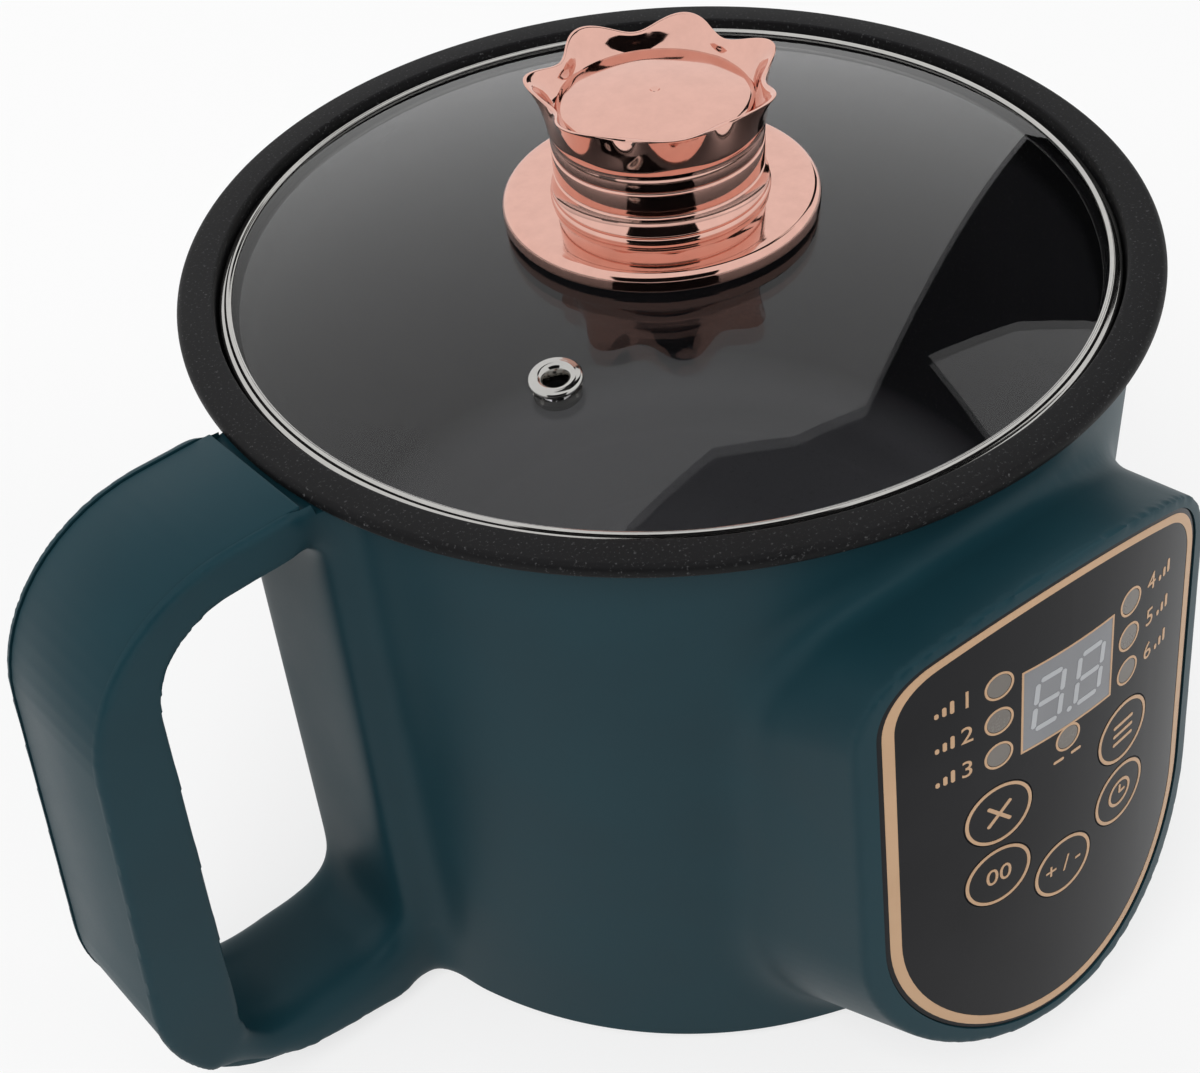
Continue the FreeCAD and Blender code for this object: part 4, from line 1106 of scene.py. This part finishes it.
# Floor, lamps and camera
def floor():
    """Pale floor that fades into the surroundings."""
    tidy_selection()
    bpy.ops.mesh.primitive_plane_add(size=8.0, location=(0, 0, 0))
    piece = named("floor")
    finish = Finish("pale_floor")
    lit = finish.node("ShaderNodeBsdfDiffuse", {}, {"Color": (0.86, 0.86, 0.86, 1.0)})
    plain = finish.node("ShaderNodeEmission", {}, {"Color": (1.0, 1.0, 1.0, 1.0), "Strength": 1.0})
    seen = finish.ray("Is Camera Ray") * 0.72
    mirrored = finish.ray("Is Glossy Ray") * 0.3
    through = finish.ray("Is Transmission Ray") * 0.72
    piece.data.materials.append(finish.show(finish.mixed(seen + mirrored + through, lit, plain)))


def lamp(name, place, target, size, power):
    """Square or oblong lamp that no mirror or glass shows."""
    data = bpy.data.lights.new(name, "AREA")
    data.shape = "RECTANGLE"
    data.size, data.size_y = size
    data.energy = power
    light = bpy.data.objects.new(name, data)
    light.visible_glossy = False
    light.visible_transmission = False
    bpy.context.scene.collection.objects.link(light)
    light.location = place
    aim = Vector(target) - Vector(place)
    light.rotation_euler = aim.to_track_quat("-Z", "Y").to_euler()


def flag(name, place, target, outline):
    """Dark card that only shows in polished surfaces and in glass."""
    piece = wire(name, [(x, y, 0.0) for x, y in outline], "NGON")
    aim = Vector(target) - Vector(place)
    turn = aim.to_track_quat("-Z", "Y").to_matrix().to_4x4()
    piece.data.transform(Matrix.Translation(place) @ turn)
    finish = Finish(name)
    shade = finish.tint(finish.noise(3.0), colour(20, 20, 21), colour(28, 28, 29))
    piece.data.materials.append(finish.solid(Base_Color=shade, Roughness=0.9, Specular_IOR_Level=0.0))
    piece.visible_camera = False
    piece.visible_diffuse = False
    piece.visible_shadow = False


def surroundings():
    """Pale surroundings, white to the camera and softer as light."""
    world = bpy.data.worlds.new("studio")
    bpy.context.scene.world = world
    world.use_nodes = True
    nodes = Nodes(world.node_tree)
    straight = nodes.ray("Is Camera Ray") + nodes.ray("Is Glossy Ray") + nodes.ray("Is Transmission Ray")
    strength = nodes.span(straight, 0.0, 1.0, 0.42, 1.0)
    shade = nodes.node("ShaderNodeBackground", {}, {"Color": (1.0, 1.0, 1.0, 1.0), "Strength": strength})
    nodes.node("ShaderNodeOutputWorld", {}, {"Surface": shade})


def camera():
    """Camera with the heading, dip and roll that the fit of the rim gave."""
    heading = math.radians(57.649)
    dip = math.radians(41.68)
    roll = math.radians(5.64)
    data = bpy.data.cameras.new("view")
    data.sensor_width = 36.0
    data.lens = 60.32
    data.shift_x = 0.0037
    data.clip_start = 0.01
    level = Vector((math.cos(heading), math.sin(heading), 0.0))
    right = Vector((level.y, -level.x, 0.0))
    up = level * math.sin(dip) + Vector((0.0, 0.0, math.cos(dip)))
    ahead = level * math.cos(dip) - Vector((0.0, 0.0, math.sin(dip)))
    x = right * math.cos(roll) - up * math.sin(roll)
    y = right * math.sin(roll) + up * math.cos(roll)
    view = bpy.data.objects.new("view", data)
    bpy.context.scene.collection.objects.link(view)
    turn = Matrix((x, y, -ahead)).transposed().to_4x4()
    view.matrix_world = Matrix.Translation((-0.20056, -0.27978, 0.37263)) @ turn
    bpy.context.scene.camera = view


floor()
surroundings()
lamp("key", (-0.9, -0.5, 1.3), (0, 0, 0.08), (0.9, 0.9), 14.0)
lamp("fill", (1.0, -1.1, 0.7), (0, 0, 0.08), (0.8, 1.2), 9.0)
lamp("back", (0.3, 1.4, 1.1), (0, 0, 0.1), (1.4, 0.6), 10.0)
flag("front_flag", (-1.1, -1.5, 0.7), (0, 0, 0.1), [(-1.3, -1.0), (1.3, -1.0), (1.3, 1.0), (-1.3, 1.0)])
flag("glass_flag", (0.92, 0.50, 1.22), (0, 0, 0.15), [
    (0.50, 1.10), (0.25, 0.50), (0.10, 0.40), (0.00, 0.25), (0.10, -0.90), (-0.20, -1.00), (-0.40, -0.40),
    (-0.15, -0.15), (-0.05, 0.05), (-0.25, 0.20), (-0.40, -0.05), (-0.55, 0.40), (-0.15, 1.00)])
camera()
bpy.context.scene.view_settings.view_transform = "Standard"
